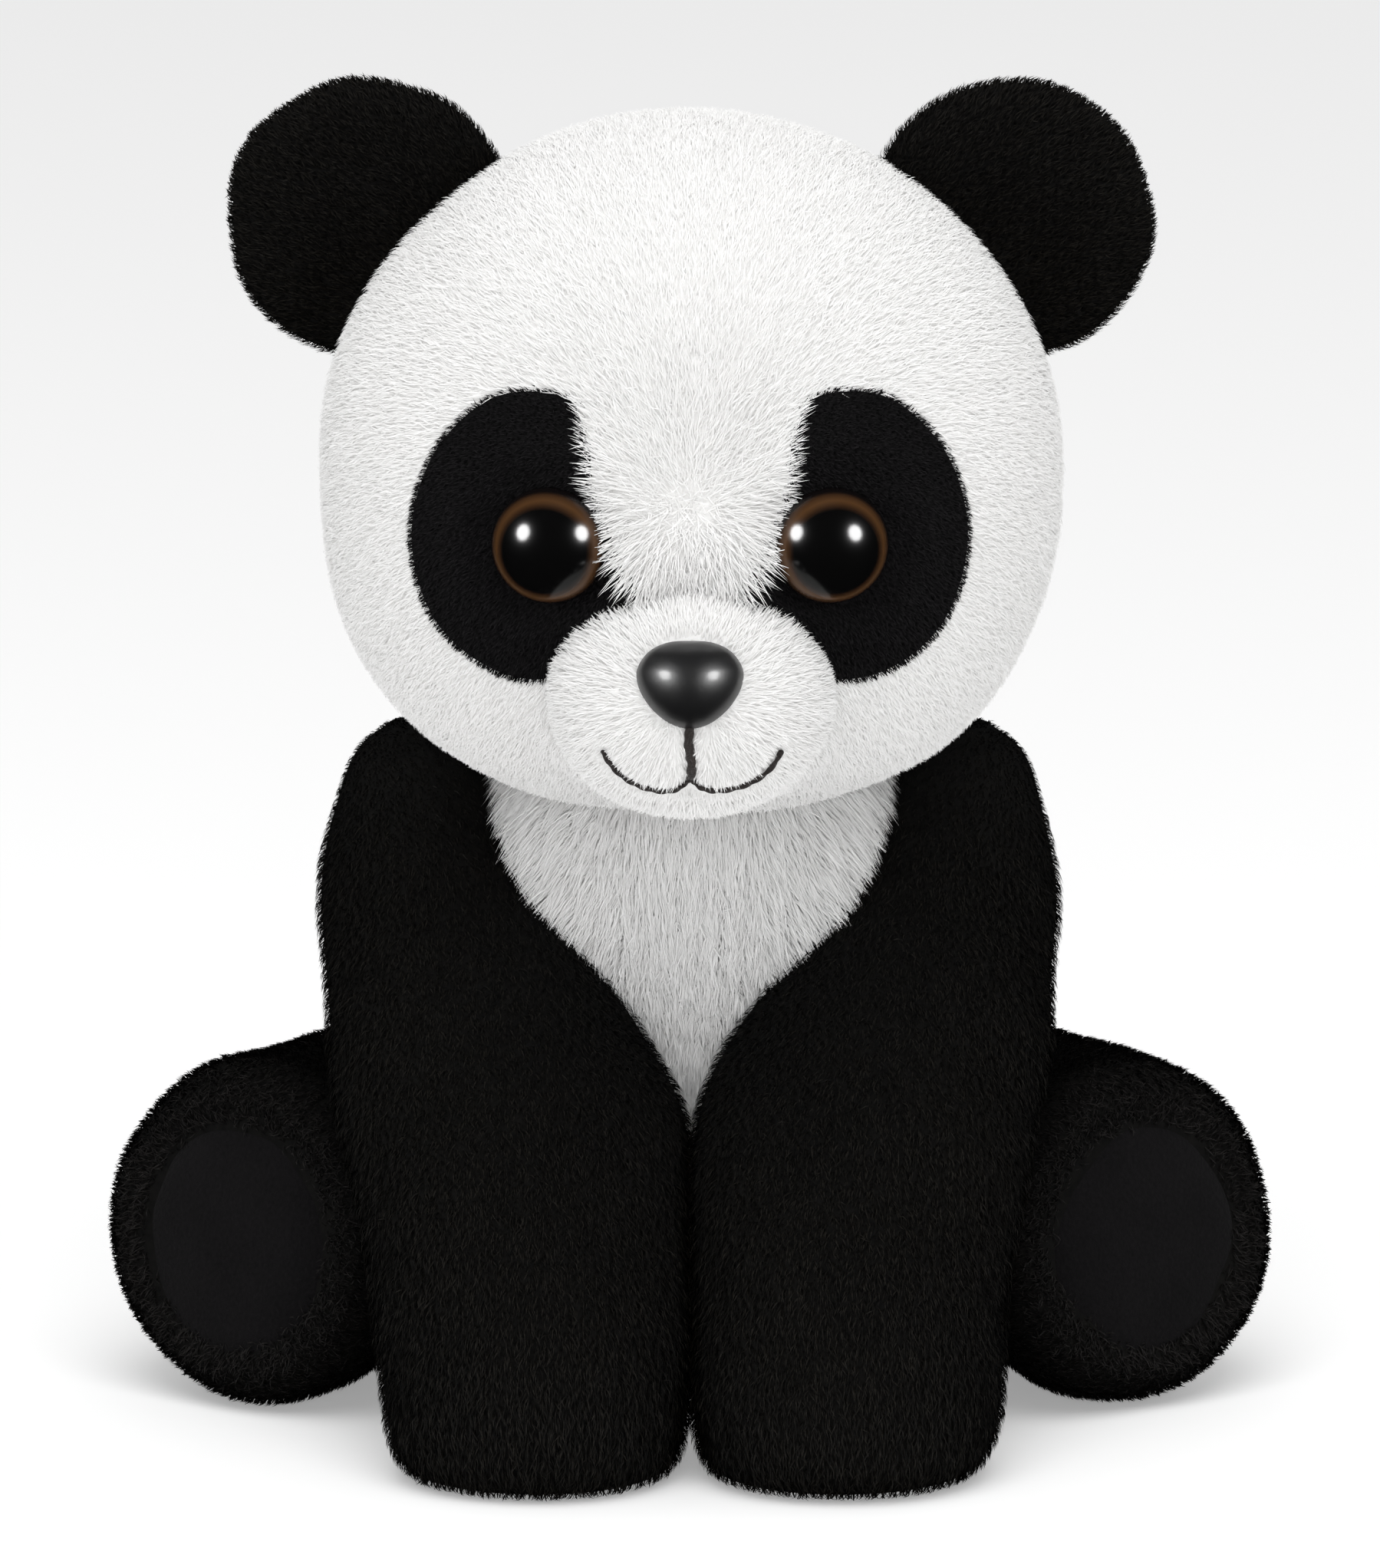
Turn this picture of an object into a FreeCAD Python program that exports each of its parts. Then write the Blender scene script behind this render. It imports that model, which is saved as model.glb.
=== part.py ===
"""Seated plush panda, about 150 mm tall, as its sewn, stuffed and moulded pieces.

The toy sits on a flat, bean-weighted seat and faces -Y, with +Z up and its own left side at +X.
The origin is on the floor, under the seat. Every left-hand piece is modelled once and mirrored
across the YZ plane to make the right-hand one. All sizes are in millimetres.
"""
import FreeCAD, Part
import Sketcher
import itertools
import math
import os
import re

from FreeCAD import Placement, Rotation, Vector

doc = FreeCAD.newDocument("plush_panda")

# Each row is an alias, a value in millimetres or degrees, and what it drives.
SIZES = [
    ("skin", 1.6, "plush fabric with its pressed pile"),
    ("gap", 0.3, "clearance between pieces that move against each other"),
    ("far", 90.0, "reach of a cutting solid"),
    ("head_half_width", 41.0, "head ellipsoid along X"),
    ("head_half_depth", 36.0, "head ellipsoid along Y"),
    ("head_half_height", 39.0, "head ellipsoid along Z"),
    ("head_y", -9.0, "head centre"),
    ("head_z", 106.3, "head centre"),
    ("crown_seam_y", -4.0, "seam from ear to ear"),
    ("gusset_foot_z", 93.0, "lowest line of the forehead gusset"),
    ("gusset_foot_half_width", 12.0, "gusset width between the eye patches"),
    ("gusset_rise", 54.0, "height of the gusset's taper"),
    ("gusset_top_half_width", 24.0, "gusset width at the crown"),
    ("patch_x", 20.0, "eye patch centre"),
    ("patch_z", 105.0, "eye patch centre"),
    ("patch_half_width", 12.2, "eye patch ellipse along X"),
    ("patch_half_height", 16.2, "eye patch ellipse along Z"),
    ("muzzle_y", -38.0, "muzzle ellipsoid centre"),
    ("muzzle_z", 87.5, "muzzle ellipsoid centre"),
    ("muzzle_half_width", 16.0, "muzzle ellipsoid along X"),
    ("muzzle_half_depth", 16.0, "muzzle ellipsoid along Y"),
    ("muzzle_half_height", 14.2, "muzzle ellipsoid along Z"),
    ("mouth_z", 79.6, "line where the muzzle's two panels meet under the mouth"),
    ("mouth_half_width", 9.4, "half the smile"),
    ("mouth_rise", 3.8, "how far the smile's ends are above its middle"),
    ("thread", 0.45, "embroidery above the fabric"),
    ("thread_width", 0.9, "width of an embroidered line"),
    ("eye_x", 14.8, "eye centre"),
    ("eye_z", 104.0, "eye centre"),
    ("eye_radius", 6.1, "12 mm class safety eye"),
    ("eye_dome", 4.2, "height of the clear dome"),
    ("eye_seat", 1.0, "thickness of the coloured disc"),
    ("pupil_radius", 4.3, "black pupil disc"),
    ("pupil_thick", 0.5, "black pupil disc"),
    ("seat", 0.05, "how far moulded parts sit off the fabric"),
    ("stem_radius", 1.6, "moulded stem of eyes and nose"),
    ("stem_length", 9.0, "moulded stem behind the fabric"),
    ("washer_radius", 5.0, "lock washer"),
    ("washer_thick", 1.2, "lock washer"),
    ("washer_depth", 3.4, "lock washer behind the outer surface"),
    ("washer_play", 0.03, "play between the stem and its lock washer"),
    ("nose_z", 91.3, "nose centre"),
    ("nose_half_width", 5.7, "moulded nose"),
    ("nose_height", 9.2, "moulded nose from top edge to lower point"),
    ("nose_bulge", 3.4, "moulded nose above the muzzle"),
    ("nose_sunk", 1.5, "moulded nose below the muzzle's surface, before its back is shaped"),
    ("nose_taper", 10.0, "how far the nose widens towards its front, in degrees"),
    ("nose_round", 1.6, "rounded front edge of the nose"),
    ("ear_x", 34.6, "ear disc centre"),
    ("ear_y", -5.0, "ear disc centre"),
    ("ear_z", 132.2, "ear disc centre"),
    ("ear_radius", 15.6, "ear disc"),
    ("ear_half_thick", 3.6, "ear disc"),
    ("ear_clear", 1.5, "ear above the head, so that it can bend"),
    ("neck_y", -2.0, "centre of the neck"),
    ("neck_z", 68.0, "centre of the neck"),
    ("neck_radius", 9.0, "stuffed neck"),
    ("belly_y", 14.0, "belly ellipsoid centre"),
    ("belly_z", 21.5, "belly ellipsoid centre"),
    ("belly_half_width", 26.5, "belly ellipsoid along X"),
    ("belly_half_depth", 25.5, "belly ellipsoid along Y"),
    ("belly_half_height", 28.0, "belly ellipsoid along Z"),
    ("chest_y", 8.0, "chest ellipsoid centre"),
    ("chest_z", 49.5, "chest ellipsoid centre"),
    ("chest_half_width", 21.0, "chest ellipsoid along X"),
    ("chest_half_depth", 20.0, "chest ellipsoid along Y"),
    ("chest_half_height", 18.5, "chest ellipsoid along Z"),
    ("side_seam_y", 9.0, "seam between the front and the back"),
    ("yoke_z", 40.0, "lower edge of the dark shoulder yoke"),
    ("seat_panel_z", 3.5, "upper edge of the seat panel"),
    ("shoulder_y", 3.0, "shoulder axis"),
    ("shoulder_z", 59.0, "shoulder axis"),
    ("shoulder_clear", 22.5, "radius that the arm's top sweeps"),
    ("armhole_x", 5.0, "deepest edge of the armhole"),
    ("shoulder_stub_x", 11.2, "end of the torso's tapered shoulder"),
    ("shoulder_stub_radius", 5.0, "end of the torso's tapered shoulder"),
    ("hip_x", 30.2, "hip centre"),
    ("hip_y", 21.0, "hip centre"),
    ("hip_z", 16.0, "hip centre"),
    ("hip_clear", 18.6, "radius that the leg's top sweeps"),
    ("leg_splay", 33.0, "leg turned out from straight ahead"),
    ("leg_rise", 8.0, "leg raised from level"),
    ("sole_radius", 12.6, "smooth sole pad"),
    ("sole_thick", 1.2, "smooth sole pad"),
    ("sole_proud", 0.4, "smooth sole pad above the foot"),
    ("pouch_half_width", 15.0, "bean pouch"),
    ("pouch_half_height", 9.0, "bean pouch"),
    ("pouch_y", 8.5, "bean pouch centre"),
    ("pouch_z", 14.0, "bean pouch centre"),
    ("pouch_cloth", 0.6, "bean pouch fabric"),
    ("tack_radius", 1.5, "thread tack that holds the bean pouch to the seat panel"),
    ("pellet_radius", 2.0, "plastic pellet"),
    ("pellet_pitch", 4.8, "spacing of the pellets in a layer"),
    ("pellet_layer", 4.3, "spacing of the layers of pellets"),
    ("pellet_room", 1.0, "pellets off the pouch"),
    ("tail_y", 43.0, "tail centre"),
    ("tail_z", 17.0, "tail centre"),
    ("tail_radius", 7.6, "tail"),
    ("tail_clear", 2.4, "tail off the torso, so that it can bend"),
    ("stitch_count", 5, "closing stitches up the back seam"),
    ("stitch_z", 30.0, "lowest closing stitch"),
    ("stitch_pitch", 3.4, "spacing of the closing stitches"),
    ("stitch_width", 3.0, "closing stitch across the seam"),
    ("stitch_height", 0.7, "closing stitch up the seam"),
]

# Stations of the arm: height, centre x, centre y, half width, half depth.
ARM = [
    (0.0, 17.0, -36.0, 12.4, 11.6),
    (5.0, 17.0, -36.4, 15.8, 14.8),
    (13.0, 17.1, -35.0, 16.6, 15.4),
    (24.0, 17.9, -30.0, 17.2, 14.5),
    (36.0, 19.8, -22.4, 18.8, 13.4),
    (47.0, 23.5, -12.6, 16.3, 13.4),
    (58.0, 26.5, -2.0, 13.4, 13.2),
    (67.5, 27.4, 2.6, 10.6, 10.4),
    (74.2, 28.2, 3.6, 5.2, 5.0),
]
# Stations of the leg, from the hip along its axis to the sole: reach, half width, half height, lift.
LEG = [
    (-12.6, 4.0, 4.0, 0.0),
    (-8.0, 10.2, 10.2, 0.0),
    (0.0, 13.2, 13.4, 0.0),
    (9.0, 12.8, 17.0, 1.6),
    (19.0, 16.4, 17.0, 0.0),
    (27.5, 18.2, 18.2, -1.5),
    (32.5, 17.0, 17.0, -1.8),
    (35.0, 14.6, 14.6, -1.8),
]
OVAL_POINTS = 24  # points that each of the leg's ovals is drawn through
OVAL_START = -60  # where an oval's seam lies, in degrees, clear of the planes that cut the leg


def letter(i):
    """A station's letter in the spreadsheet."""
    return chr(ord("a") + i)


def fill_sheet():
    """Writes the sizes and the limb stations into the spreadsheet and returns it."""
    sheet = doc.addObject("Spreadsheet::Sheet", "Sizes")
    rows = list(SIZES)
    for i, station in enumerate(ARM):
        for word, value in zip(("height", "centre_x", "centre_y", "half_x", "half_y"), station):
            rows.append((f"arm_{word}_{letter(i)}", value, "arm station"))
    for i, station in enumerate(LEG):
        for word, value in zip(("reach", "half_width", "half_height", "lift"), station):
            rows.append((f"leg_{word}_{letter(i)}", value, "leg station"))
    for row, (alias, value, note) in enumerate(rows, 1):
        sheet.set(f"A{row}", alias)
        sheet.set(f"B{row}", str(value))
        sheet.set(f"C{row}", note)
        sheet.setAlias(f"B{row}", alias)
    doc.recompute()
    return sheet


sizes = fill_sheet()


def size(alias):
    """The value of a cell, as a plain number."""
    return float(sizes.get(alias))


def cells(formula):
    """A formula with each alias written as the sheet's cell, which setExpression needs."""
    return re.sub(r"[a-z]\w*", lambda alias: f"Sizes.{alias.group()}", formula)


def bind(thing, **formulas):
    """Ties properties of an object to the sheet. A double underscore stands for a dot."""
    for name, formula in formulas.items():
        thing.setExpression(name.replace("__", "."), cells(str(formula)))
    return thing


def place(thing, x="0", y="0", z="0"):
    """Ties an object's place to the sheet."""
    return bind(thing, Placement__Base__x=x, Placement__Base__y=y, Placement__Base__z=z)


def ellipsoid(name, half_x, half_y, half_z, x="0", y="0", z="0"):
    """A closed ellipsoid with its axes along X, Y and Z."""
    ball = doc.addObject("Part::Ellipsoid", name)
    ball.Angle1, ball.Angle2, ball.Angle3 = -90, 90, 360
    bind(ball, Radius1=half_z, Radius2=half_x, Radius3=half_y)
    return place(ball, x, y, z)


def sphere(name, radius, x="0", y="0", z="0"):
    """A ball."""
    ball = doc.addObject("Part::Sphere", name)
    bind(ball, Radius=radius)
    return place(ball, x, y, z)


def box(name, low, high):
    """A box between two corners, each three formulas."""
    block = doc.addObject("Part::Box", name)
    spans = [f"({b}) - ({a})" for a, b in zip(low, high)]
    bind(block, Length=spans[0], Width=spans[1], Height=spans[2])
    return place(block, *low)


def cut(name, base, *tools):
    """base with each tool taken away."""
    for i, tool in enumerate(tools):
        step = doc.addObject("Part::Cut", name if i == len(tools) - 1 else f"{name}_less_{i}")
        step.Base, step.Tool = base, tool
        base = step
    return base


def common(name, base, *tools):
    """What base shares with every tool."""
    for i, tool in enumerate(tools):
        step = doc.addObject("Part::Common", name if i == len(tools) - 1 else f"{name}_in_{i}")
        step.Base, step.Tool = base, tool
        base = step
    return base


def fuse(name, base, tool):
    """base and tool as one solid."""
    both = doc.addObject("Part::Fuse", name)
    both.Base, both.Tool = base, tool
    return both


nodes = {}


def node(label, thing):
    """Makes an object a sub-part with this label, which names its file."""
    thing.Label = label
    nodes[label] = thing
    return thing


def mirrored(left):
    """The mirror image of a left-hand object across the YZ plane."""
    right = doc.addObject("Part::Mirroring", f"{left.Name}_mirror")
    right.Source = left
    right.Base = Vector(0, 0, 0)
    right.Normal = Vector(1, 0, 0)
    return right


def both_sides(label, left):
    """A left-hand sub-part, and its mirror image as the right-hand one."""
    node(f"{label}_left", left)
    node(f"{label}_right", mirrored(left))


def new_body(name):
    """A PartDesign body, and a function that gives one of its origin planes by role."""
    body = doc.addObject("PartDesign::Body", name)

    def plane(role):
        return next(p for p in body.Origin.OriginFeatures if p.Role == role)

    return body, plane


def sketch_on(body, plane, name):
    """An empty sketch that lies on a body's own plane."""
    sketch = body.newObject("Sketcher::SketchObject", name)
    sketch.AttachmentSupport = [(plane, "")]
    sketch.MapMode = "FlatFace"
    return sketch


def polyline(sketch, points, names):
    """A closed outline whose corners are held by named distances from the sketch's origin.

    names gives each corner's two formulas, for its distance along and up the sketch.
    """
    count = len(points)
    for i, (x, y) in enumerate(points):
        to = points[(i + 1) % count]
        sketch.addGeometry(Part.LineSegment(Vector(x, y, 0), Vector(*to, 0)), False)
    for i in range(count):
        sketch.addConstraint(Sketcher.Constraint("Coincident", i, 2, (i + 1) % count, 1))
    for i, ((x, y), (across, up)) in enumerate(zip(points, names)):
        for kind, value, formula in (("DistanceX", x, across), ("DistanceY", y, up)):
            row = sketch.addConstraint(Sketcher.Constraint(kind, -1, 1, i, 1, value))
            if formula is not None:
                sketch.setExpression(f"Constraints[{row}]", cells(formula))
    return sketch


def revolved(name, points, names, placement):
    """A body made by turning an outline, given as radius and height, about its own Z axis."""
    body, plane = new_body(name)
    sketch = polyline(sketch_on(body, plane("XZ_Plane"), f"{name}_outline"), points, names)
    turn = body.newObject("PartDesign::Revolution", f"{name}_turn")
    turn.Profile = sketch
    turn.ReferenceAxis = (sketch, ["V_Axis"])
    turn.Angle = 360
    body.Placement = placement
    return body


def ellipsoid_front(x, z, centre, half):
    """The point at x and z on an ellipsoid's front, and the outward normal there."""
    share = 1 - ((x - centre[0]) / half[0]) ** 2 - ((z - centre[2]) / half[2]) ** 2
    point = Vector(x, centre[1] - half[1] * math.sqrt(share), z)
    normal = Vector(*((p - c) / h**2 for p, c, h in zip(point, centre, half)))
    return point, normal.normalize()


def make_cutters():
    """Half spaces and boxes that split skins into panels."""
    return {
        "floor": box("floor_cutter", ("-far", "-far", "-far"), ("far", "far", "0")),
        "left": box("left_half", ("0", "-far", "-far"), ("far", "far", "2 * far")),
        "front": box("face_half", ("-far", "-far", "0"), ("far", "crown_seam_y", "2 * far")),
        "neck": sphere("neck_opening", "neck_radius + gap", y="neck_y", z="neck_z"),
    }


cutter = make_cutters()
HEAD_CENTRE = (0.0, size("head_y"), size("head_z"))
HEAD_HALF = tuple(size(f"head_half_{w}") for w in ("width", "depth", "height"))
MUZZLE_CENTRE = (0.0, size("muzzle_y"), size("muzzle_z"))
MUZZLE_HALF = tuple(size(f"muzzle_half_{w}") for w in ("width", "depth", "height"))


def head_ellipsoid(name, grow):
    """The head's ellipsoid, grown or shrunk by a formula."""
    halves = [f"head_half_{word} + ({grow})" for word in ("width", "depth", "height")]
    return ellipsoid(name, *halves, y="head_y", z="head_z")


def muzzle_ellipsoid(name, grow):
    """The muzzle's ellipsoid, grown or shrunk by a formula."""
    halves = [f"muzzle_half_{word} + ({grow})" for word in ("width", "depth", "height")]
    return ellipsoid(name, *halves, y="muzzle_y", z="muzzle_z")


def facing(point, normal):
    """A placement whose Z axis points along normal from point, with X kept level."""
    return Placement(point, Rotation(normal.cross(Vector(0, 0, 1)).negative(), Vector(), normal, "ZXY"))


def raised(site, height):
    """A placement moved along its own Z axis."""
    return site.multiply(Placement(Vector(0, 0, height), Rotation()))


EYE_POINT, EYE_NORMAL = ellipsoid_front(size("eye_x"), size("eye_z"), HEAD_CENTRE, HEAD_HALF)
NOSE_POINT, NOSE_NORMAL = ellipsoid_front(0.0, size("nose_z"), MUZZLE_CENTRE, MUZZLE_HALF)
EYE_SITE = facing(EYE_POINT, EYE_NORMAL)
NOSE_SITE = facing(NOSE_POINT, NOSE_NORMAL)


def stem_pocket(name, site):
    """What the stuffing and the skin leave free for a stem and its lock washer."""
    points = [(0, 1), (1, 1), (1, -1), (2, -1), (2, -2), (1, -2), (1, -3), (0, -3)]
    shaft, disc, front = "stem_radius + 2 * seat", "washer_radius + 2 * seat", "eye_radius"
    top, bottom, end = "-washer_depth + seat", "-washer_depth - washer_thick - seat", "-stem_length - gap"
    names = [("0", front), (shaft, front), (shaft, top), (disc, top)]
    names += [(disc, bottom), (shaft, bottom), (shaft, end), ("0", end)]
    return revolved(name, points, names, site)


def washer(name, site):
    """A lock washer: a pad with a hole that grips the stem."""
    body, plane = new_body(name)
    disc = sketch_on(body, plane("XY_Plane"), f"{name}_disc")
    hole = size("stem_radius") + size("washer_play")
    disc.addGeometry(Part.Circle(Vector(), Vector(0, 0, 1), size("washer_radius")), False)
    disc.addGeometry(Part.Circle(Vector(), Vector(0, 0, 1), hole), False)
    for i, formula in enumerate(("washer_radius", "stem_radius + washer_play")):
        disc.addConstraint(Sketcher.Constraint("Coincident", i, 3, -1, 1))
        row = disc.addConstraint(Sketcher.Constraint("Radius", i, disc.Geometry[i].Radius))
        disc.setExpression(f"Constraints[{row}]", cells(formula))
    pad = body.newObject("PartDesign::Pad", f"{name}_pad")
    pad.Profile = disc
    pad.setExpression("Length", cells("washer_thick"))
    body.Placement = raised(site, -size("washer_depth") - size("washer_thick"))
    return body


def make_eye():
    """Safety eye: coloured disc on a stem, black pupil disc, clear dome and lock washer."""
    rim, stem, end = "eye_radius - 0.7", "stem_radius", "-stem_length"
    low, high = "seat", "seat + eye_seat"
    points = [(0, 1), (2, 1), (2, 0), (1, 0), (1, -2), (0, -2)]
    names = [("0", high), (rim, high), (rim, low), (stem, low), (stem, end), ("0", end)]
    both_sides("eye_disc", revolved("eye_disc", points, names, EYE_SITE))

    pupil = doc.addObject("Part::Cylinder", "eye_pupil")
    bind(pupil, Radius="pupil_radius", Height="pupil_thick")
    pupil.Placement = raised(EYE_SITE, size("seat") + size("eye_seat"))
    both_sides("eye_pupil", pupil)

    dome = doc.addObject("Part::Sphere", "eye_dome_ball")
    bind(dome, Radius="(eye_radius * eye_radius + eye_dome * eye_dome) / (2 * eye_dome)")
    ball_radius = (size("eye_radius") ** 2 + size("eye_dome") ** 2) / (2 * size("eye_dome"))
    dome.Placement = raised(EYE_SITE, size("seat") + size("eye_dome") - ball_radius)
    behind = doc.addObject("Part::Cylinder", "behind_eye")
    bind(behind, Radius="far", Height="far")
    behind.Placement = raised(EYE_SITE, size("seat") - size("far"))
    cup = cut("eye_cup", dome, behind, nodes["eye_disc_left"], pupil)
    both_sides("eye_dome", cup)
    both_sides("eye_washer", washer("eye_washer", EYE_SITE))
    return stem_pocket("eye_pocket", EYE_SITE)


def make_nose():
    """Moulded nose, a rounded triangle whose back follows the muzzle, and its lock washer."""
    body, plane = new_body("nose_pad_body")
    half, top, low = size("nose_half_width"), 0.45 * size("nose_height"), -0.55 * size("nose_height")
    shoulder, waist = 0.5 * top, (0.62 * half, 0.45 * low)
    outline = sketch_on(body, plane("XY_Plane"), "nose_outline")
    edges = [
        Part.Arc(Vector(-half, shoulder, 0), Vector(0, top, 0), Vector(half, shoulder, 0)),
        Part.Arc(Vector(half, shoulder, 0), Vector(*waist, 0), Vector(0, low, 0)),
        Part.Arc(Vector(0, low, 0), Vector(-waist[0], waist[1], 0), Vector(-half, shoulder, 0)),
    ]
    for edge in edges:
        outline.addGeometry(edge, False)
    pad = body.newObject("PartDesign::Pad", "nose_pad")
    pad.Profile = outline
    pad.setExpression("Length", cells("nose_bulge + nose_sunk"))
    pad.setExpression("TaperAngle", cells("-nose_taper"))
    doc.recompute()
    rounded = body.newObject("PartDesign::Fillet", "nose_round")
    face = max(range(len(pad.Shape.Faces)), key=lambda i: pad.Shape.Faces[i].CenterOfMass.z)
    rounded.Base = (pad, [f"Face{face + 1}"])
    rounded.setExpression("Radius", cells("nose_round"))
    body.Placement = raised(NOSE_SITE, -size("nose_sunk"))
    shell = cut("nose_shell", body, muzzle_ellipsoid("nose_back", "seat"))
    peg = doc.addObject("Part::Cylinder", "nose_peg")
    bind(peg, Radius="stem_radius", Height="stem_length + nose_sunk")
    peg.Placement = raised(NOSE_SITE, -size("stem_length"))
    node("nose", fuse("nose_with_stem", shell, peg))
    node("nose_washer", washer("nose_washer", NOSE_SITE))
    return stem_pocket("nose_pocket", NOSE_SITE)


def make_mouth():
    """Embroidered philtrum and smile: ribbons of thread that follow the muzzle."""
    above, below = muzzle_ellipsoid("thread_top", "thread"), muzzle_ellipsoid("thread_foot", "0")
    ridge = cut("thread_layer", above, below)
    half, rise = size("mouth_half_width"), size("mouth_rise")
    radius = (half / 2) ** 2 / (2 * rise) + rise / 2
    front, back, edge = "-far", "muzzle_y", "thread_width / 2"
    ribbons = []
    for side, mark in ((-1, "right"), (1, "left")):
        ring = doc.addObject("Part::Cylinder", f"smile_outer_{mark}")
        hole = doc.addObject("Part::Cylinder", f"smile_inner_{mark}")
        for disc, sign in ((ring, "+"), (hole, "-")):
            bind(disc, Radius=f"{radius} {sign} {edge}", Height="far")
            centre = Vector(side * half / 2, size("muzzle_y"), size("mouth_z") + radius)
            disc.Placement = Placement(centre, Rotation(Vector(1, 0, 0), 90))
        arc = common(f"smile_{mark}", cut(f"smile_ring_{mark}", ring, hole), ridge)
        low = (edge if side > 0 else "-mouth_half_width", front, "mouth_z - mouth_rise")
        high = ("mouth_half_width" if side > 0 else f"-{edge}", back, "mouth_z + mouth_rise")
        ribbons.append(common(f"smile_part_{mark}", arc, box(f"smile_span_{mark}", low, high)))
    top = "nose_z - 0.62 * nose_height"
    philtrum = box("philtrum_span", (f"-{edge}", front, "mouth_z"), (edge, back, top))
    ribbons.append(common("philtrum", ridge, philtrum))
    stitches = doc.addObject("Part::Compound", "mouth_stitches")
    stitches.Links = ribbons
    node("mouth_embroidery", stitches)


def make_head():
    """Skin panels, eye patches, muzzle, stuffing and the moulded parts of the head."""
    eye_pocket, nose_pocket = make_eye(), make_nose()
    make_mouth()
    outer, inner = head_ellipsoid("head_outer", "0"), head_ellipsoid("head_inner", "-skin")
    muzzle_outer = muzzle_ellipsoid("muzzle_outer", "0")
    muzzle_inner = muzzle_ellipsoid("muzzle_inner", "-skin")
    shell = cut("head_shell", outer, inner, cutter["neck"])
    face = cut("face_shell", common("face_part", shell, cutter["front"]), muzzle_outer)
    back = cut("back_shell", shell, cutter["front"])

    gusset = doc.addObject("Part::Wedge", "gusset_taper")
    bind(gusset, Xmin="-gusset_foot_half_width", Xmax="gusset_foot_half_width")
    bind(gusset, X2min="-gusset_top_half_width", X2max="gusset_top_half_width")
    bind(gusset, Ymin="0", Ymax="gusset_rise")
    bind(gusset, Zmin="0", Zmax="far", Z2min="0", Z2max="far")
    gusset.Placement = Placement(Vector(0, 0, 0), Rotation(Vector(1, 0, 0), 90))
    place(gusset, y="crown_seam_y + 1", z="gusset_foot_z")

    ring = doc.addObject("Part::Ellipse", "patch_ellipse")
    bind(ring, MajorRadius="patch_half_height", MinorRadius="patch_half_width")
    upright = Rotation(Vector(0, 0, 1), Vector(1, 0, 0), Vector(0, 1, 0), "XYZ")
    ring.Placement = Placement(Vector(0, 0, 0), upright)
    place(ring, x="patch_x", y="head_y", z="patch_z")
    patch = doc.addObject("Part::Extrusion", "patch_prism")
    patch.Base = ring
    patch.DirMode = "Custom"
    patch.Dir = Vector(0, -1, 0)
    patch.Solid = True
    bind(patch, LengthFwd="far")

    both_sides("head_back", common("head_back_part", back, cutter["left"]))
    strip = common("gusset_part", face, gusset)
    node("forehead_gusset", cut("gusset_panel", strip, patch, mirrored(patch)))
    left_face = common("left_face", face, cutter["left"])
    both_sides("cheek", cut("cheek_part", left_face, gusset, patch))
    both_sides("eye_patch", cut("patch_part", common("patch_area", left_face, patch), eye_pocket))

    muzzle = cut("muzzle_skin", muzzle_outer, muzzle_inner, inner, nose_pocket)
    below = box("chin_part", ("-far", "-far", "0"), ("far", "0", "mouth_z"))
    node("muzzle_panel", cut("muzzle_upper", muzzle, below))
    node("chin_panel", common("muzzle_lower", muzzle, below))
    node("muzzle_stuffing", cut("muzzle_fill", muzzle_inner, inner, nose_pocket))
    pockets = (eye_pocket, mirrored(eye_pocket), nose_pocket)
    node("head_stuffing", cut("head_fill", inner, cutter["neck"], *pockets))


def make_ears():
    """Two plush layers for each ear, sewn together round the edge."""
    disc = ellipsoid("ear_disc", "ear_radius", "ear_half_thick", "ear_radius", "ear_x", "ear_y", "ear_z")
    ear = cut("ear_shape", disc, head_ellipsoid("ear_root", "ear_clear"))
    front = box("ear_front_half", ("-far", "-far", "0"), ("far", "ear_y", "2 * far"))
    both_sides("ear_front", common("ear_front_layer", ear, front))
    both_sides("ear_back", cut("ear_back_layer", ear, front))


def torso_shape(name, grow):
    """Belly and chest ellipsoids as one solid, grown or shrunk, with a flat seat at z of -grow."""
    lumps = []
    for word in ("belly", "chest"):
        halves = [f"{word}_half_{side} + ({grow})" for side in ("width", "depth", "height")]
        lumps.append(ellipsoid(f"{name}_{word}", *halves, y=f"{word}_y", z=f"{word}_z"))
    whole = fuse(f"{name}_whole", *lumps)
    low = box(f"{name}_floor", ("-far", "-far", "-far"), ("far", "far", f"-({grow})"))
    return cut(name, whole, low)


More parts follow.
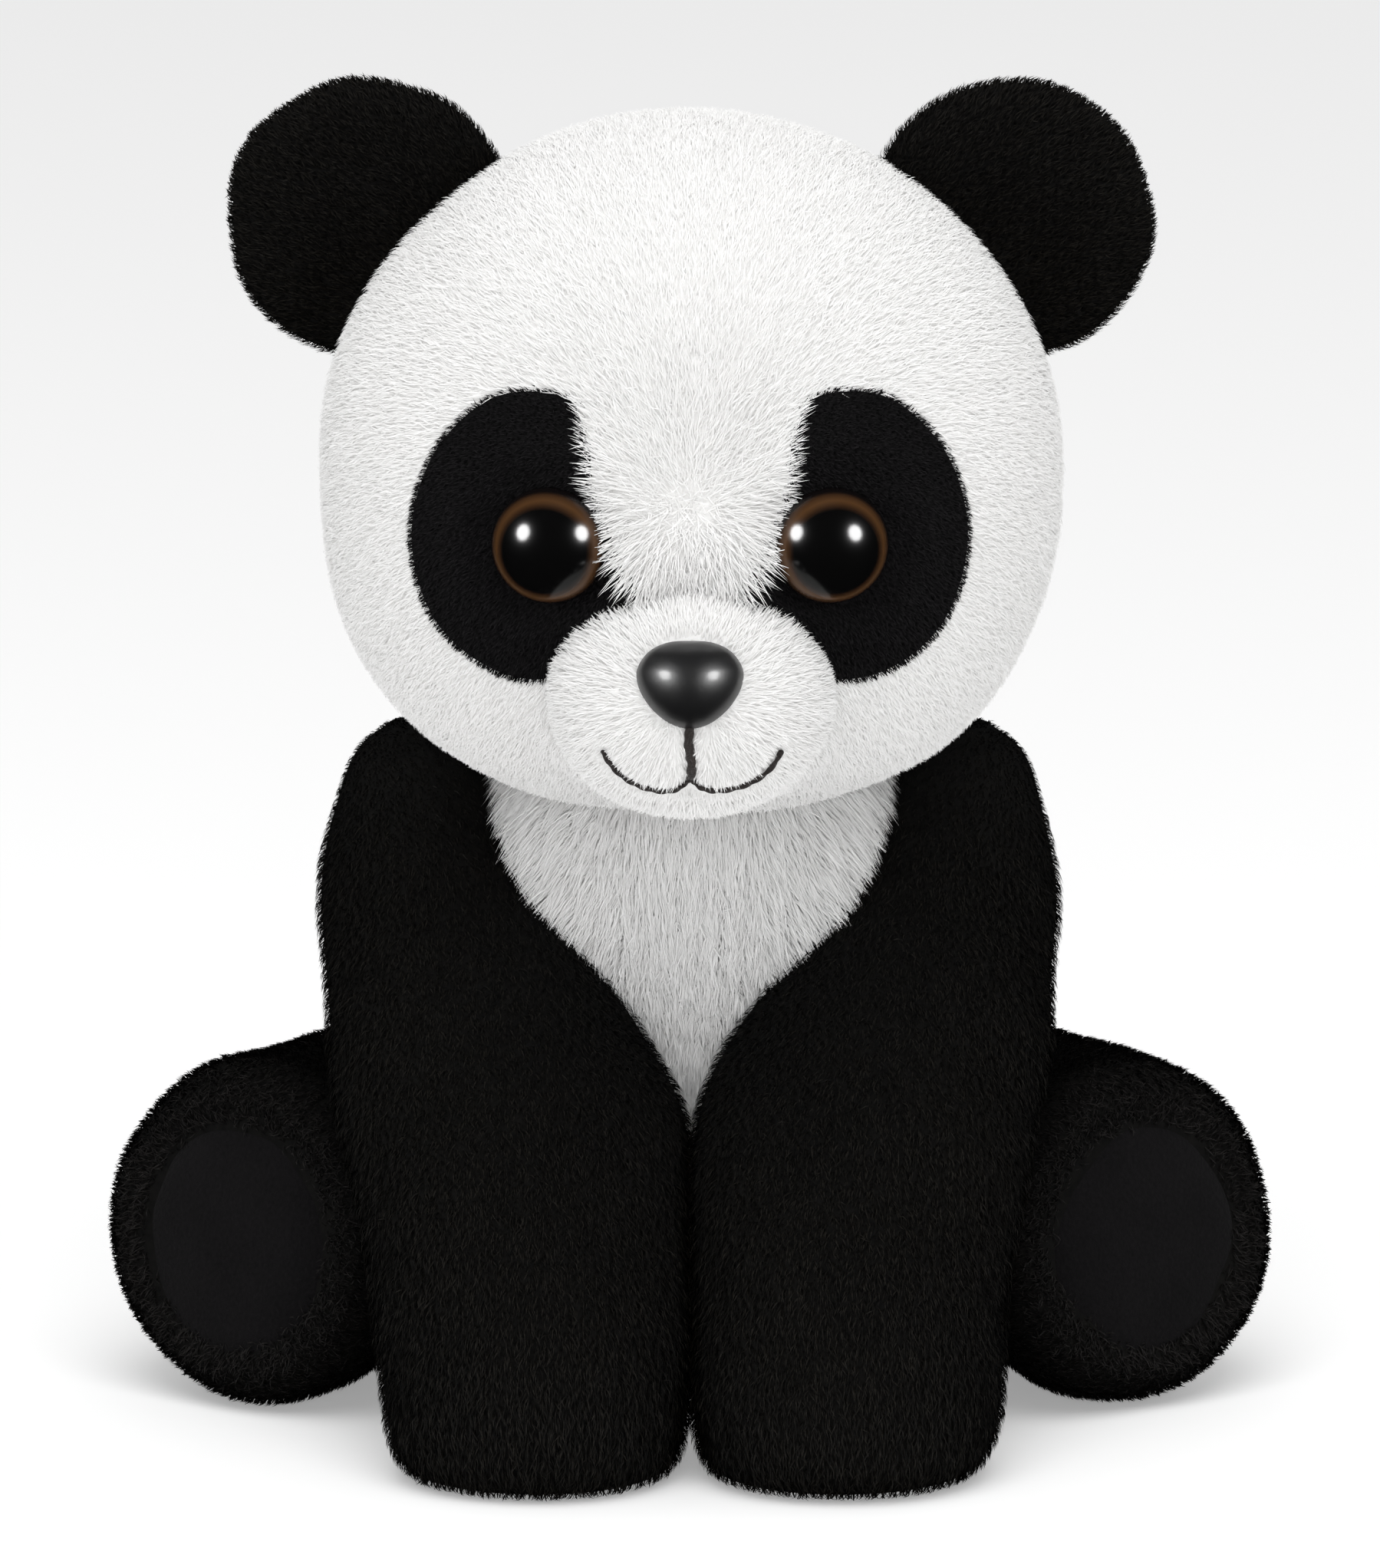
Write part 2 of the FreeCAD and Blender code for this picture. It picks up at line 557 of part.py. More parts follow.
def make_torso():
    """Front and back panels, yoke, seat panel, stuffing, bean pouch, pellets and closing stitches."""
    openings = [cutter["neck"]]
    hole = doc.addObject("Part::Cylinder", "armhole_disc")
    bind(hole, Radius="shoulder_clear", Height="far")
    stub = doc.addObject("Part::Cone", "shoulder_stub")
    bind(stub, Radius1="shoulder_clear", Radius2="shoulder_stub_radius")
    bind(stub, Height="shoulder_stub_x - armhole_x")
    for piece in (hole, stub):
        piece.Placement = Placement(Vector(0, 0, 0), Rotation(Vector(0, 1, 0), 90))
        place(piece, x="armhole_x", y="shoulder_y", z="shoulder_z")
    hip = sphere("hip_opening", "hip_clear", "hip_x", "hip_y", "hip_z")
    for opening in (cut("armhole", hole, stub), hip):
        openings += [opening, mirrored(opening)]
    outer, inner = torso_shape("torso_outer", "0"), torso_shape("torso_inner", "-skin")
    shell = cut("torso_shell", outer, inner, *openings)
    base = box("seat_part", ("-far", "-far", "-far"), ("far", "far", "seat_panel_z"))
    node("seat_panel", common("seat_skin", shell, base))
    sides = cut("torso_sides", shell, base)
    front = box("torso_front_half", ("-far", "-far", "0"), ("far", "side_seam_y", "far"))
    above = box("yoke_part", ("-far", "-far", "yoke_z"), ("far", "far", "far"))
    node("chest_and_belly_panel", common("front_skin", sides, front))
    back = common("left_back", cut("back_skin", sides, front), cutter["left"])
    both_sides("back_yoke", common("yoke_skin", back, above))
    both_sides("lower_back", cut("lower_back_skin", back, above))

    bag, hollow = (
        ellipsoid(f"pouch_{word}", f"pouch_half_width - {less}", f"pouch_half_width - {less}",
                  f"pouch_half_height - {less}", y="pouch_y", z="pouch_z")
        for word, less in (("outer", "0"), ("inner", "pouch_cloth"))
    )
    tack = doc.addObject("Part::Cylinder", "pouch_tack")
    bind(tack, Radius="tack_radius", Height="pouch_z - pouch_half_height / 2 - skin")
    tacked = fuse("tacked_pouch", bag, place(tack, y="pouch_y", z="skin"))
    node("bean_pouch", cut("pouch_cloth_shell", tacked, hollow))
    node("torso_stuffing", cut("torso_fill", inner, *openings, tacked))
    node("pellets", make_pellets())
    node("closing_stitches", make_stitches())


def make_pellets():
    """Plastic pellets as separate balls on a close grid inside the pouch."""
    pitch = [size("pellet_pitch"), size("pellet_pitch"), size("pellet_layer")]
    radius = size("pellet_radius")
    halves = [size("pouch_half_width")] * 2 + [size("pouch_half_height")]
    room = [half - size("pellet_room") - radius for half in halves]
    steps = [range(-int(r / p), int(r / p) + 1) for r, p in zip(room, pitch)]
    centre = Vector(0, size("pouch_y"), size("pouch_z"))
    balls = []
    for at in itertools.product(*steps):
        offset = [i * p for i, p in zip(at, pitch)]
        if sum((o / r) ** 2 for o, r in zip(offset, room)) <= 1:
            balls.append(Part.makeSphere(radius, Vector(*offset) + centre))
    group = doc.addObject("Part::Feature", "pellet_group")
    group.Shape = Part.makeCompound(balls)
    return group


def make_stitches():
    """Short ladder stitches that close the back seam, as raised bars on the lower back."""
    ridge = cut("stitch_layer", torso_shape("stitch_outside", "thread"), torso_shape("stitch_inside", "0"))
    bars = []
    for i in range(int(size("stitch_count"))):
        foot = f"stitch_z + {i} * stitch_pitch"
        low = ("-stitch_width / 2", "belly_y", foot)
        high = ("stitch_width / 2", "far", f"{foot} + stitch_height")
        bars.append(common(f"stitch_{i}", ridge, box(f"stitch_span_{i}", low, high)))
    group = doc.addObject("Part::Compound", "stitch_group")
    group.Links = bars
    return group


def arm_loft(name, less):
    """The arm lofted through its stations, with every station drawn in by a formula."""
    rings = []
    for i in range(len(ARM)):
        mark = letter(i)
        ring = doc.addObject("Part::Ellipse", f"{name}_{mark}")
        bind(ring, MajorRadius=f"arm_half_x_{mark} - {less}", MinorRadius=f"arm_half_y_{mark} - {less}")
        inward = {0: f" + {less}", len(ARM) - 1: f" - {less}"}.get(i, "")
        place(ring, f"arm_centre_x_{mark}", f"arm_centre_y_{mark}", f"arm_height_{mark}{inward}")
        rings.append(ring)
    loft = doc.addObject("Part::Loft", name)
    loft.Sections = rings
    loft.Solid = True
    return loft


def make_arms():
    """Outer and inner skin of each arm, and its stuffing."""
    outer, inner = arm_loft("arm_outside", "0"), arm_loft("arm_inside", "skin")
    shell = cut("arm_shell", outer, inner)
    split = box("arm_split", ("-far", "-far", "-skin"), ("arm_centre_x_c", "far", "far"))
    both_sides("arm_inner", common("arm_inner_skin", shell, split))
    both_sides("arm_outer", cut("arm_outer_skin", shell, split))
    both_sides("arm_stuffing", inner)


def leg_frame():
    """The leg's own frame: Z from the hip towards the sole, X level."""
    turn = math.radians(size("leg_splay"))
    rise = math.radians(size("leg_rise"))
    ahead = Vector(math.sin(turn) * math.cos(rise), -math.cos(turn) * math.cos(rise), math.sin(rise))
    hip = Vector(size("hip_x"), size("hip_y"), size("hip_z"))
    return Placement(hip, Rotation(Vector(0, 0, 1).cross(ahead), Vector(), ahead, "ZXY"))


def oval(half_width, half_height, centre):
    """A closed spline through evenly turned points of an ellipse, starting at OVAL_START."""
    points = []
    for i in range(OVAL_POINTS):
        turn = math.radians(OVAL_START + 360 * i / OVAL_POINTS)
        points.append(centre + Vector(half_width * math.cos(turn), half_height * math.sin(turn), 0))
    curve = Part.BSplineCurve()
    curve.interpolate(points, PeriodicFlag=True)
    return Part.Wire([curve.toShape()])


def leg_loft(name, inset, site):
    """The leg lofted through its stations along its axis, with every station drawn in by inset."""
    rings = []
    for i in range(len(LEG)):
        mark = letter(i)
        words = ("reach", "half_width", "half_height", "lift")
        reach, half_width, half_height, lift = (size(f"leg_{word}_{mark}") for word in words)
        inward = {0: inset, len(LEG) - 1: -inset}.get(i, 0)
        ring = doc.addObject("Part::Feature", f"{name}_{mark}")
        ring.Shape = oval(half_width - inset, half_height - inset, Vector(0, lift, reach + inward))
        ring.Placement = site
        rings.append(ring)
    loft = doc.addObject("Part::Loft", name)
    loft.Sections = rings
    loft.Solid = True
    return loft


def make_legs():
    """Upper and lower skin of each leg, its smooth sole and its stuffing."""
    site = leg_frame()
    outer = cut("leg_outside", leg_loft("leg_outside_loft", 0, site), cutter["floor"])
    low = box("leg_floor", ("-far", "-far", "-far"), ("far", "far", "skin"))
    inner = cut("leg_inside", leg_loft("leg_inside_loft", size("skin"), site), low)
    shell = cut("leg_shell", outer, inner)
    last = letter(len(LEG) - 1)
    pad = doc.addObject("Part::Cylinder", "sole_pad")
    bind(pad, Radius="sole_radius", Height="sole_thick")
    back = size(f"leg_reach_{last}") + size("sole_proud") - size("sole_thick")
    pad.Placement = site.multiply(Placement(Vector(0, size(f"leg_lift_{last}"), back), Rotation()))
    both_sides("foot_sole", pad)
    below = box("leg_lower_half", ("-far", "-far", "-skin"), ("far", "far", "hip_z"))
    skin = cut("leg_skin", shell, pad)
    both_sides("leg_lower", common("leg_lower_skin", skin, below))
    both_sides("leg_upper", cut("leg_upper_skin", skin, below))
    both_sides("leg_stuffing", inner)


def make_tail():
    """Small round tail: a skin and its stuffing."""
    root = torso_shape("tail_root", "tail_clear")
    outer = cut("tail_outer", sphere("tail_ball", "tail_radius", y="tail_y", z="tail_z"), root)
    fill = sphere("tail_fill_ball", "tail_radius - skin", y="tail_y", z="tail_z")
    node("tail_skin", cut("tail_shell", outer, fill))
    node("tail_stuffing", cut("tail_fill", fill, root))


def make_neck():
    """The firmly stuffed neck that the head turns and nods on."""
    node("neck_plug", sphere("neck_ball", "neck_radius", y="neck_y", z="neck_z"))


def check_and_export():
    """Stops on any failed object or bad solid, then writes one STEP file for each sub-part."""
    doc.recompute()
    failed = [o.Name for o in doc.Objects if {"Invalid", "Error"} & set(o.State)]
    if failed:
        raise RuntimeError(f"failed objects: {failed}")
    for label, thing in nodes.items():
        shape = thing.Shape
        if shape.isNull() or not shape.isValid() or not shape.Solids:
            raise RuntimeError(f"{label} has no valid solid")
    os.makedirs("parts", exist_ok=True)
    for old in os.listdir("parts"):
        os.remove(os.path.join("parts", old))
    for label, thing in nodes.items():
        thing.Shape.exportStep(f"parts/{label}.step")
        print(f"{label:24s} {len(thing.Shape.Solids):3d} solids {thing.Shape.Volume:10.1f} mm3")


make_neck()
make_head()
make_ears()
make_torso()
make_arms()
make_legs()
make_tail()
check_and_export()
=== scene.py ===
"""The looks of a seated plush panda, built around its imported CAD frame.

Shapes are worked out in millimetres, because pile and thread are that small, and make_piece() turns
them into metres. The toy faces -Y, +Z is up and its own left side is +X. Each part is a stuffed skin,
which has a knitted, pressed look of its own, and a pile of real strands that stands on it.
"""

import math

import bpy
import numpy as np
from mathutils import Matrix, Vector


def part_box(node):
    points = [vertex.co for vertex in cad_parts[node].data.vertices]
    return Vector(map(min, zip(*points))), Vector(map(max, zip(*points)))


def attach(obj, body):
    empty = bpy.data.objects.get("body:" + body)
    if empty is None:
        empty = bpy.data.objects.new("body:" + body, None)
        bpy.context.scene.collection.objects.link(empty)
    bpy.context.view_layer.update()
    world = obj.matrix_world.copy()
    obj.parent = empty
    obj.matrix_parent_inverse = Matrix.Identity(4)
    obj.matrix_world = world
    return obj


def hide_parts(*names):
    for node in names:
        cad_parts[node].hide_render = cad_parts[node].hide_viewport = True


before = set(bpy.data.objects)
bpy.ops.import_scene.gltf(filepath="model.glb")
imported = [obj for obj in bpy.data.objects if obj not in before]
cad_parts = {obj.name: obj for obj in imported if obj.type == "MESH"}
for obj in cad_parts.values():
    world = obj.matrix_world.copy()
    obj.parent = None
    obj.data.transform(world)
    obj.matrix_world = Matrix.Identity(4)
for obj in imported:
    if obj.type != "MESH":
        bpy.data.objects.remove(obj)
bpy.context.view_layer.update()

MM = 0.001
CAMERA_ELEVATION = 13.0      # in degrees
CAMERA_DISTANCE = 1.5        # in metres
CAMERA_LENS = 360.0
LOOK_AT = (0.0, -0.012, 0.0711)
PILE_DEPTH = 1.2             # how far the pile stands off the stuffed skin
FLOOR_GAP = 0.05             # between the lowest strands and the floor
ROOT_DEPTH = 0.15            # how far a strand starts below the skin
TIP_RISE = 0.45              # how steep a strand's outer half is, as a share of its inner half
MIDDLE_WIDTH = 0.8           # a strand's width halfway up, as a share of its width at the root
MIDDLE_PULL = 0.25           # how far a strand's middle follows its tip into a clump
STRAND_TURN = 0.35           # how far a strand's flat side is turned at random


# ---------------------------------------------------------------- sizes from the frame, in mm

def span(*nodes):
    """Lowest and highest corner over some CAD nodes."""
    corners = [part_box(node) for node in nodes]
    low = np.min([c[0] for c in corners], axis=0)
    high = np.max([c[1] for c in corners], axis=0)
    return np.array(low) / MM, np.array(high) / MM


head_low, head_high = span("cheek_left", "cheek_right", "head_back_left", "head_back_right",
                           "forehead_gusset")
muzzle_low, muzzle_high = span("muzzle_panel", "chin_panel")
ear_low, ear_high = span("ear_front_left", "ear_back_left")
tail_low, tail_high = span("tail_skin")

HEAD_WIDEST_Z = 106.3        # height at which the head is widest
HEAD_CENTRE = np.array([0.0, (head_high[1] + head_low[1]) / 2, HEAD_WIDEST_Z])
HEAD_HALF = head_high - HEAD_CENTRE - PILE_DEPTH
CHEEK_FULLNESS = 2.4         # exponent of the head's lower half from the front: 2 is an ellipsoid
MUZZLE_HALF_DEPTH = 16.0     # most of it is sunk in the head
MUZZLE_HALF = np.array([muzzle_high[0], MUZZLE_HALF_DEPTH, (muzzle_high[2] - muzzle_low[2]) / 2])
MUZZLE_CENTRE = np.array([0.0, muzzle_low[1] + MUZZLE_HALF[1], (muzzle_high[2] + muzzle_low[2]) / 2])
MUZZLE_HALF = MUZZLE_HALF - PILE_DEPTH
EYE_X, EYE_Z, EYE_RADIUS, EYE_DOME = 14.8, 104.0, 6.2, 4.0
EYE_PROUD = 1.3              # an eye's rim above the stuffed skin
EYE_AIM = 0.9                # how far an eye is turned from the skin's normal towards straight ahead
NOSE_Z = 91.3
BRIDGE = np.array([0.0, -50.0, 109.0])      # the face's pile grows away from here
NOSE_TIP = np.array([0.0, -60.0, 92.0])     # the muzzle's pile grows away from here


# ---------------------------------------------------------------- numbers and vectors

def unit(v):
    """Vectors scaled to length one."""
    return v / np.maximum(np.linalg.norm(v, axis=-1, keepdims=True), 1e-12)


def along(v, normals):
    """Vectors laid flat against a surface."""
    v = np.broadcast_to(v, normals.shape)
    return unit(v - (v * normals).sum(-1, keepdims=True) * normals)


def through(points, count, closed=False):
    """count points on a smooth curve through the given ones."""
    points = np.asarray(points, float)
    last = len(points)
    if closed:
        padded = np.concatenate([points[-1:], points, points[:2]])
        at = np.linspace(0, last, count, endpoint=False)
    else:
        padded = np.concatenate([2 * points[:1] - points[1:2], points, 2 * points[-1:] - points[-2:-1]])
        at = np.linspace(0, last - 1, count)
    i = np.minimum(at.astype(int), last - (1 if closed else 2))
    s = (at - i)[:, None]
    p0, p1, p2, p3 = (padded[i + k] for k in range(4))
    return 0.5 * (2 * p1 + (p2 - p0) * s + (2 * p0 - 5 * p1 + 4 * p2 - p3) * s**2
                  + (3 * p1 - p0 - 3 * p2 + p3) * s**3)


def lumps(points, scale, seed):
    """Smooth unevenness from -1 to 1 whose hollows and rises are about scale apart."""
    rng = np.random.default_rng(seed)
    waves = unit(rng.normal(size=(9, 3))) * (2 * math.pi / scale) * rng.uniform(0.6, 1.3, (9, 1))
    phases = rng.uniform(0, 2 * math.pi, 9)
    return np.sin(points @ waves.T + phases).sum(-1) / 5.0


def bump_at(points, centre, radius):
    """A round rise of height one at centre."""
    return np.exp(-((points - np.asarray(centre)) ** 2).sum(-1) / (2 * radius**2))


# ---------------------------------------------------------------- meshes

def make_piece(name, points, faces, *materials, tones=None):
    """A smooth-shaded mesh object from points in millimetres.

    faces is a list of arrays, each of faces with the same number of corners. tones gives each
    face's material.
    """
    mesh = bpy.data.meshes.new(name)
    points = np.asarray(points, np.float32)
    mesh.vertices.add(len(points))
    mesh.vertices.foreach_set("co", (points * MM).astype(np.float32).ravel())
    loops = np.concatenate([f.ravel() for f in faces])
    sizes = np.concatenate([np.full(len(f), f.shape[1]) for f in faces])
    mesh.loops.add(len(loops))
    mesh.loops.foreach_set("vertex_index", loops.astype(np.int32))
    mesh.polygons.add(len(sizes))
    starts = np.concatenate([[0], np.cumsum(sizes)[:-1]])
    mesh.polygons.foreach_set("loop_start", starts.astype(np.int32))
    for material in materials:
        mesh.materials.append(material)
    if tones is not None:
        mesh.polygons.foreach_set("material_index", np.asarray(tones, np.int32))
    mesh.polygons.foreach_set("use_smooth", np.ones(len(sizes), bool))
    mesh.update(calc_edges=True)
    mesh.validate()
    piece = bpy.data.objects.new(name, mesh)
    bpy.context.scene.collection.objects.link(piece)
    return piece


class Skin:
    """A surface of rings of points, each ring closed, with an optional pole at each end."""

    def __init__(self, rings, low_pole=True, high_pole=True, relief=None):
        rings = np.asarray(rings, float)
        rows, columns = rings.shape[:2]
        points = [rings.reshape(-1, 3)]
        i = np.arange(rows - 1)[:, None] * columns + np.arange(columns)
        j = np.arange(rows - 1)[:, None] * columns + (np.arange(columns) + 1) % columns
        quads = np.stack([i, j, j + columns, i + columns], -1).reshape(-1, 4)
        triangles = [quads[:, [0, 1, 2]], quads[:, [0, 2, 3]]]
        fans = []
        across = np.arange(columns)
        following = (across + 1) % columns
        count = rows * columns
        if low_pole:
            points.append(rings[0].mean(0)[None])
            fans.append(np.stack([following, across, np.full(columns, count)], -1))
            count += 1
        if high_pole:
            points.append(rings[-1].mean(0)[None])
            top = (rows - 1) * columns
            fans.append(np.stack([top + across, top + following, np.full(columns, count)], -1))
        self.points = np.concatenate(points)
        self.faces = [quads] + fans
        self.triangles = np.concatenate(triangles + fans)
        self.turn_outward()
        if relief is not None:
            self.points = self.points + self.normals() * relief(self.points)[:, None]

    def turn_outward(self):
        """Reverses the faces if they enclose a negative volume."""
        a, b, c = (self.points[self.triangles[:, k]] for k in range(3))
        if (a * np.cross(b, c)).sum() < 0:
            self.faces = [f[:, ::-1] for f in self.faces]
            self.triangles = self.triangles[:, ::-1]

    def face_towards(self, direction):
        """Reverses the faces if most of them look away from a direction."""
        if ((self.normals() @ np.asarray(direction)) < 0).mean() > 0.5:
            self.faces = [f[:, ::-1] for f in self.faces]
            self.triangles = self.triangles[:, ::-1]

    def normals(self):
        """One outward normal for each point."""
        a, b, c = (self.points[self.triangles[:, k]] for k in range(3))
        normal = np.cross(b - a, c - a)
        total = np.zeros_like(self.points)
        for k in range(3):
            np.add.at(total, self.triangles[:, k], normal)
        return unit(total)

    def piece(self, name, *materials):
        """The skin as a mesh object."""
        return make_piece(name, self.points, self.faces, *materials)

    def scatter(self, per_mm2, rng, keep=None):
        """Random places on the skin and the normals there."""
        corners = self.points[self.triangles]
        normals = self.normals()[self.triangles]
        sides = corners[:, 1:] - corners[:, :1]
        area = np.linalg.norm(np.cross(sides[:, 0], sides[:, 1]), axis=1) / 2
        reach = np.cumsum(area)
        count = int(reach[-1] * per_mm2)
        chosen = np.searchsorted(reach, (np.arange(count) + rng.random(count)) / count * reach[-1])
        chosen = np.minimum(chosen, len(area) - 1)
        u, v = rng.random(count), rng.random(count)
        folded = u + v > 1
        u, v = np.where(folded, 1 - u, u), np.where(folded, 1 - v, v)
        weights = np.stack([1 - u - v, u, v], -1)[:, :, None]
        places = (corners[chosen] * weights).sum(1)
        at = unit((normals[chosen] * weights).sum(1))
        if keep is not None:
            kept = keep(places)
            places, at = places[kept], at[kept]
        return places, at


def clump_numbers(places, cell, rng):
    """For each strand the number of its clump, where a clump is about cell across."""
    shift = 0.25 * lumps(places, cell * 3, 7)[:, None]
    cells = np.floor((places + rng.normal(size=3)) / cell + shift).astype(int)
    return np.unique(cells, axis=0, return_inverse=True)[1].ravel()


def pile(name, places, normals, flow, rng, materials, length, width, lift, clump, cell=1.4, ruffle=0.35,
         sag=0.0):
    """Strands of pile on a skin, each a narrow leaf of two faces that bends over towards its tip.

    flow is the way the pile lies, length and width are in millimetres, lift is how far a root
    stands up from the skin in degrees, clump draws the tips of a cell together, ruffle turns each
    strand aside at random and sag pulls the tips down. materials go from dark to light, and the
    tip of a strand is one step lighter than its root: painted shade at the roots, where the strands
    shade each other.
    """
    count = len(places)
    length = np.broadcast_to(length, (count,)) * rng.uniform(0.7, 1.25, count)
    lie = along(flow + ruffle * rng.normal(size=(count, 3)), normals)
    rise = (np.radians(lift) * rng.uniform(0.7, 1.3, count))[:, None]
    bend = rise * TIP_RISE
    half = (length / 2)[:, None]
    middle = places + half * (lie * np.cos(rise) + normals * np.sin(rise))
    tip = middle + half * (lie * np.cos(bend) + normals * np.sin(bend))
    tip[:, 2] -= sag * length * rng.uniform(0.6, 1.2, count)
    group = clump_numbers(places, cell, rng)
    members = np.bincount(group)
    centre = np.stack([np.bincount(group, tip[:, k]) / members for k in range(3)], -1)[group]
    pull = clump * rng.uniform(0.4, 1.0, count)[:, None]
    tip = tip + (centre - tip) * pull
    middle = middle + (centre - tip) * pull * MIDDLE_PULL
    across = unit(np.cross(normals, lie) + STRAND_TURN * rng.normal(size=(count, 3)) * normals)
    w = (width / 2) * rng.uniform(0.7, 1.3, count)[:, None]
    root = places - normals * ROOT_DEPTH
    points = np.stack([root - across * w, root + across * w, middle + across * w * MIDDLE_WIDTH,
                       middle - across * w * MIDDLE_WIDTH, tip], 1).reshape(-1, 3)
    points[:, 2] = np.maximum(points[:, 2], FLOOR_GAP)
    first = np.arange(count)[:, None] * 5
    quads = first + np.array([0, 1, 2, 3])
    tips = first + np.array([3, 2, 4])
    # A strand's root takes one material and its tip the next lighter one: painted shade at the root.
    tone = rng.integers(0, len(materials) - 1, count)
    tones = np.concatenate([tone, tone + 1])
    return make_piece(name, points, [quads, tips], *materials, tones=tones)


# ---------------------------------------------------------------- materials

def principled(name, roughness, **sockets):
    """A material with plain numbers on its Principled shader's own sockets."""
    material = bpy.data.materials.new(name)
    material.use_nodes = True
    shader = material.node_tree.nodes["Principled BSDF"]
    shader.inputs["Roughness"].default_value = roughness
    for socket, value in sockets.items():
        shader.inputs[socket.replace("_", " ")].default_value = value
    return material


def node_parts(material):
    """A material's nodes, its links and its shader."""
    tree = material.node_tree
    return tree.nodes, tree.links, tree.nodes["Principled BSDF"]


def strand_materials(name, colours, roughness, sheen):
    """Materials for pile strands from the darkest, which paints shade at the roots, to the brightest tip.
    """
    return [principled(f"{name}_{i}", roughness, Base_Color=(*colour, 1.0), Sheen_Weight=sheen,
                       Sheen_Roughness=0.4, Sheen_Tint=(0.9, 0.9, 0.92, 1.0), Specular_IOR_Level=0.05)
            for i, colour in enumerate(colours)]


def cloth_material(name, dark, light, pile_scale, roughness=0.9, sheen=0.2, depth=0.25):
    """Pressed pile: patches of light and dark, short streaks of fibre and their relief."""
    material = principled(name, roughness, Sheen_Weight=sheen, Sheen_Roughness=0.5, Specular_IOR_Level=0.05)
    nodes, links, shader = node_parts(material)
    place = nodes.new("ShaderNodeTexCoord")
    fine = nodes.new("ShaderNodeTexNoise")
    fine.inputs["Scale"].default_value = pile_scale
    fine.inputs["Detail"].default_value = 4.0
    broad = nodes.new("ShaderNodeTexNoise")
    broad.inputs["Scale"].default_value = pile_scale * 0.06
    mix = nodes.new("ShaderNodeMath")
    mix.operation = "MULTIPLY_ADD"
    mix.inputs[1].default_value = 0.65
    weight = nodes.new("ShaderNodeMath")
    weight.operation = "MULTIPLY"
    weight.inputs[1].default_value = 0.35
    ramp = nodes.new("ShaderNodeValToRGB")
    ramp.color_ramp.elements[0].position = 0.3
    ramp.color_ramp.elements[0].color = (*dark, 1.0)
    ramp.color_ramp.elements[1].position = 0.7
    ramp.color_ramp.elements[1].color = (*light, 1.0)
    relief = nodes.new("ShaderNodeBump")
    relief.inputs["Strength"].default_value = depth
    relief.inputs["Distance"].default_value = 0.0004
    for texture in (fine, broad):
        links.new(place.outputs["Object"], texture.inputs["Vector"])
    links.new(broad.outputs["Fac"], weight.inputs[0])
    links.new(fine.outputs["Fac"], mix.inputs[0])
    links.new(weight.outputs["Value"], mix.inputs[2])
    links.new(mix.outputs["Value"], ramp.inputs["Fac"])
    links.new(ramp.outputs["Color"], shader.inputs["Base Color"])
    links.new(fine.outputs["Fac"], relief.inputs["Height"])
    links.new(relief.outputs["Normal"], shader.inputs["Normal"])
    return material


def eye_material():
    """Moulded eye seen through its clear dome: black pupil, brown ring, dark edge."""
    material = principled("eye_gloss", 0.17, Specular_IOR_Level=0.35)
    nodes, links, shader = node_parts(material)
    radius = nodes.new("ShaderNodeAttribute")
    radius.attribute_name = "eye_radius"
    grain = nodes.new("ShaderNodeTexNoise")
    grain.inputs["Scale"].default_value = 900.0
    shift = nodes.new("ShaderNodeMath")
    shift.operation = "MULTIPLY_ADD"
    shift.inputs[1].default_value = 0.05
    ramp = nodes.new("ShaderNodeValToRGB")
    stops = [(0.0, (0.002, 0.002, 0.002)), (0.755, (0.002, 0.002, 0.002)), (0.81, (0.024, 0.011, 0.005)),
             (0.89, (0.072, 0.033, 0.012)), (0.95, (0.045, 0.021, 0.009)), (1.0, (0.004, 0.003, 0.003))]
    for position, colour in stops[1:-1]:
        ramp.color_ramp.elements.new(position).color = (*colour, 1.0)
    ramp.color_ramp.elements[0].color = (*stops[0][1], 1.0)
    ramp.color_ramp.elements[-1].color = (*stops[-1][1], 1.0)
    links.new(grain.outputs["Fac"], shift.inputs[0])
    links.new(radius.outputs["Fac"], shift.inputs[2])
    links.new(shift.outputs["Value"], ramp.inputs["Fac"])
    links.new(ramp.outputs["Color"], shader.inputs["Base Color"])
    return material


def moulded_material(name, colour, roughness, grain_scale):
    """Moulded plastic with a fine mottled gloss."""
    material = principled(name, roughness, Coat_Weight=0.25, Coat_Roughness=0.2)
    nodes, links, shader = node_parts(material)
    grain = nodes.new("ShaderNodeTexNoise")
    grain.inputs["Scale"].default_value = grain_scale
    grain.inputs["Detail"].default_value = 6.0
    ramp = nodes.new("ShaderNodeValToRGB")
    ramp.color_ramp.elements[0].color = (*(c * 0.75 for c in colour), 1.0)
    ramp.color_ramp.elements[1].color = (*(c * 1.35 for c in colour), 1.0)
    rough = nodes.new("ShaderNodeMapRange")
    rough.inputs["To Min"].default_value = roughness - 0.05
    rough.inputs["To Max"].default_value = roughness + 0.08
    relief = nodes.new("ShaderNodeBump")
    relief.inputs["Strength"].default_value = 0.08
    relief.inputs["Distance"].default_value = 0.0002
    links.new(grain.outputs["Fac"], ramp.inputs["Fac"])
    links.new(grain.outputs["Fac"], rough.inputs["Value"])
    links.new(grain.outputs["Fac"], relief.inputs["Height"])
    links.new(ramp.outputs["Color"], shader.inputs["Base Color"])
    links.new(rough.outputs["Result"], shader.inputs["Roughness"])
    links.new(relief.outputs["Normal"], shader.inputs["Normal"])
    return material


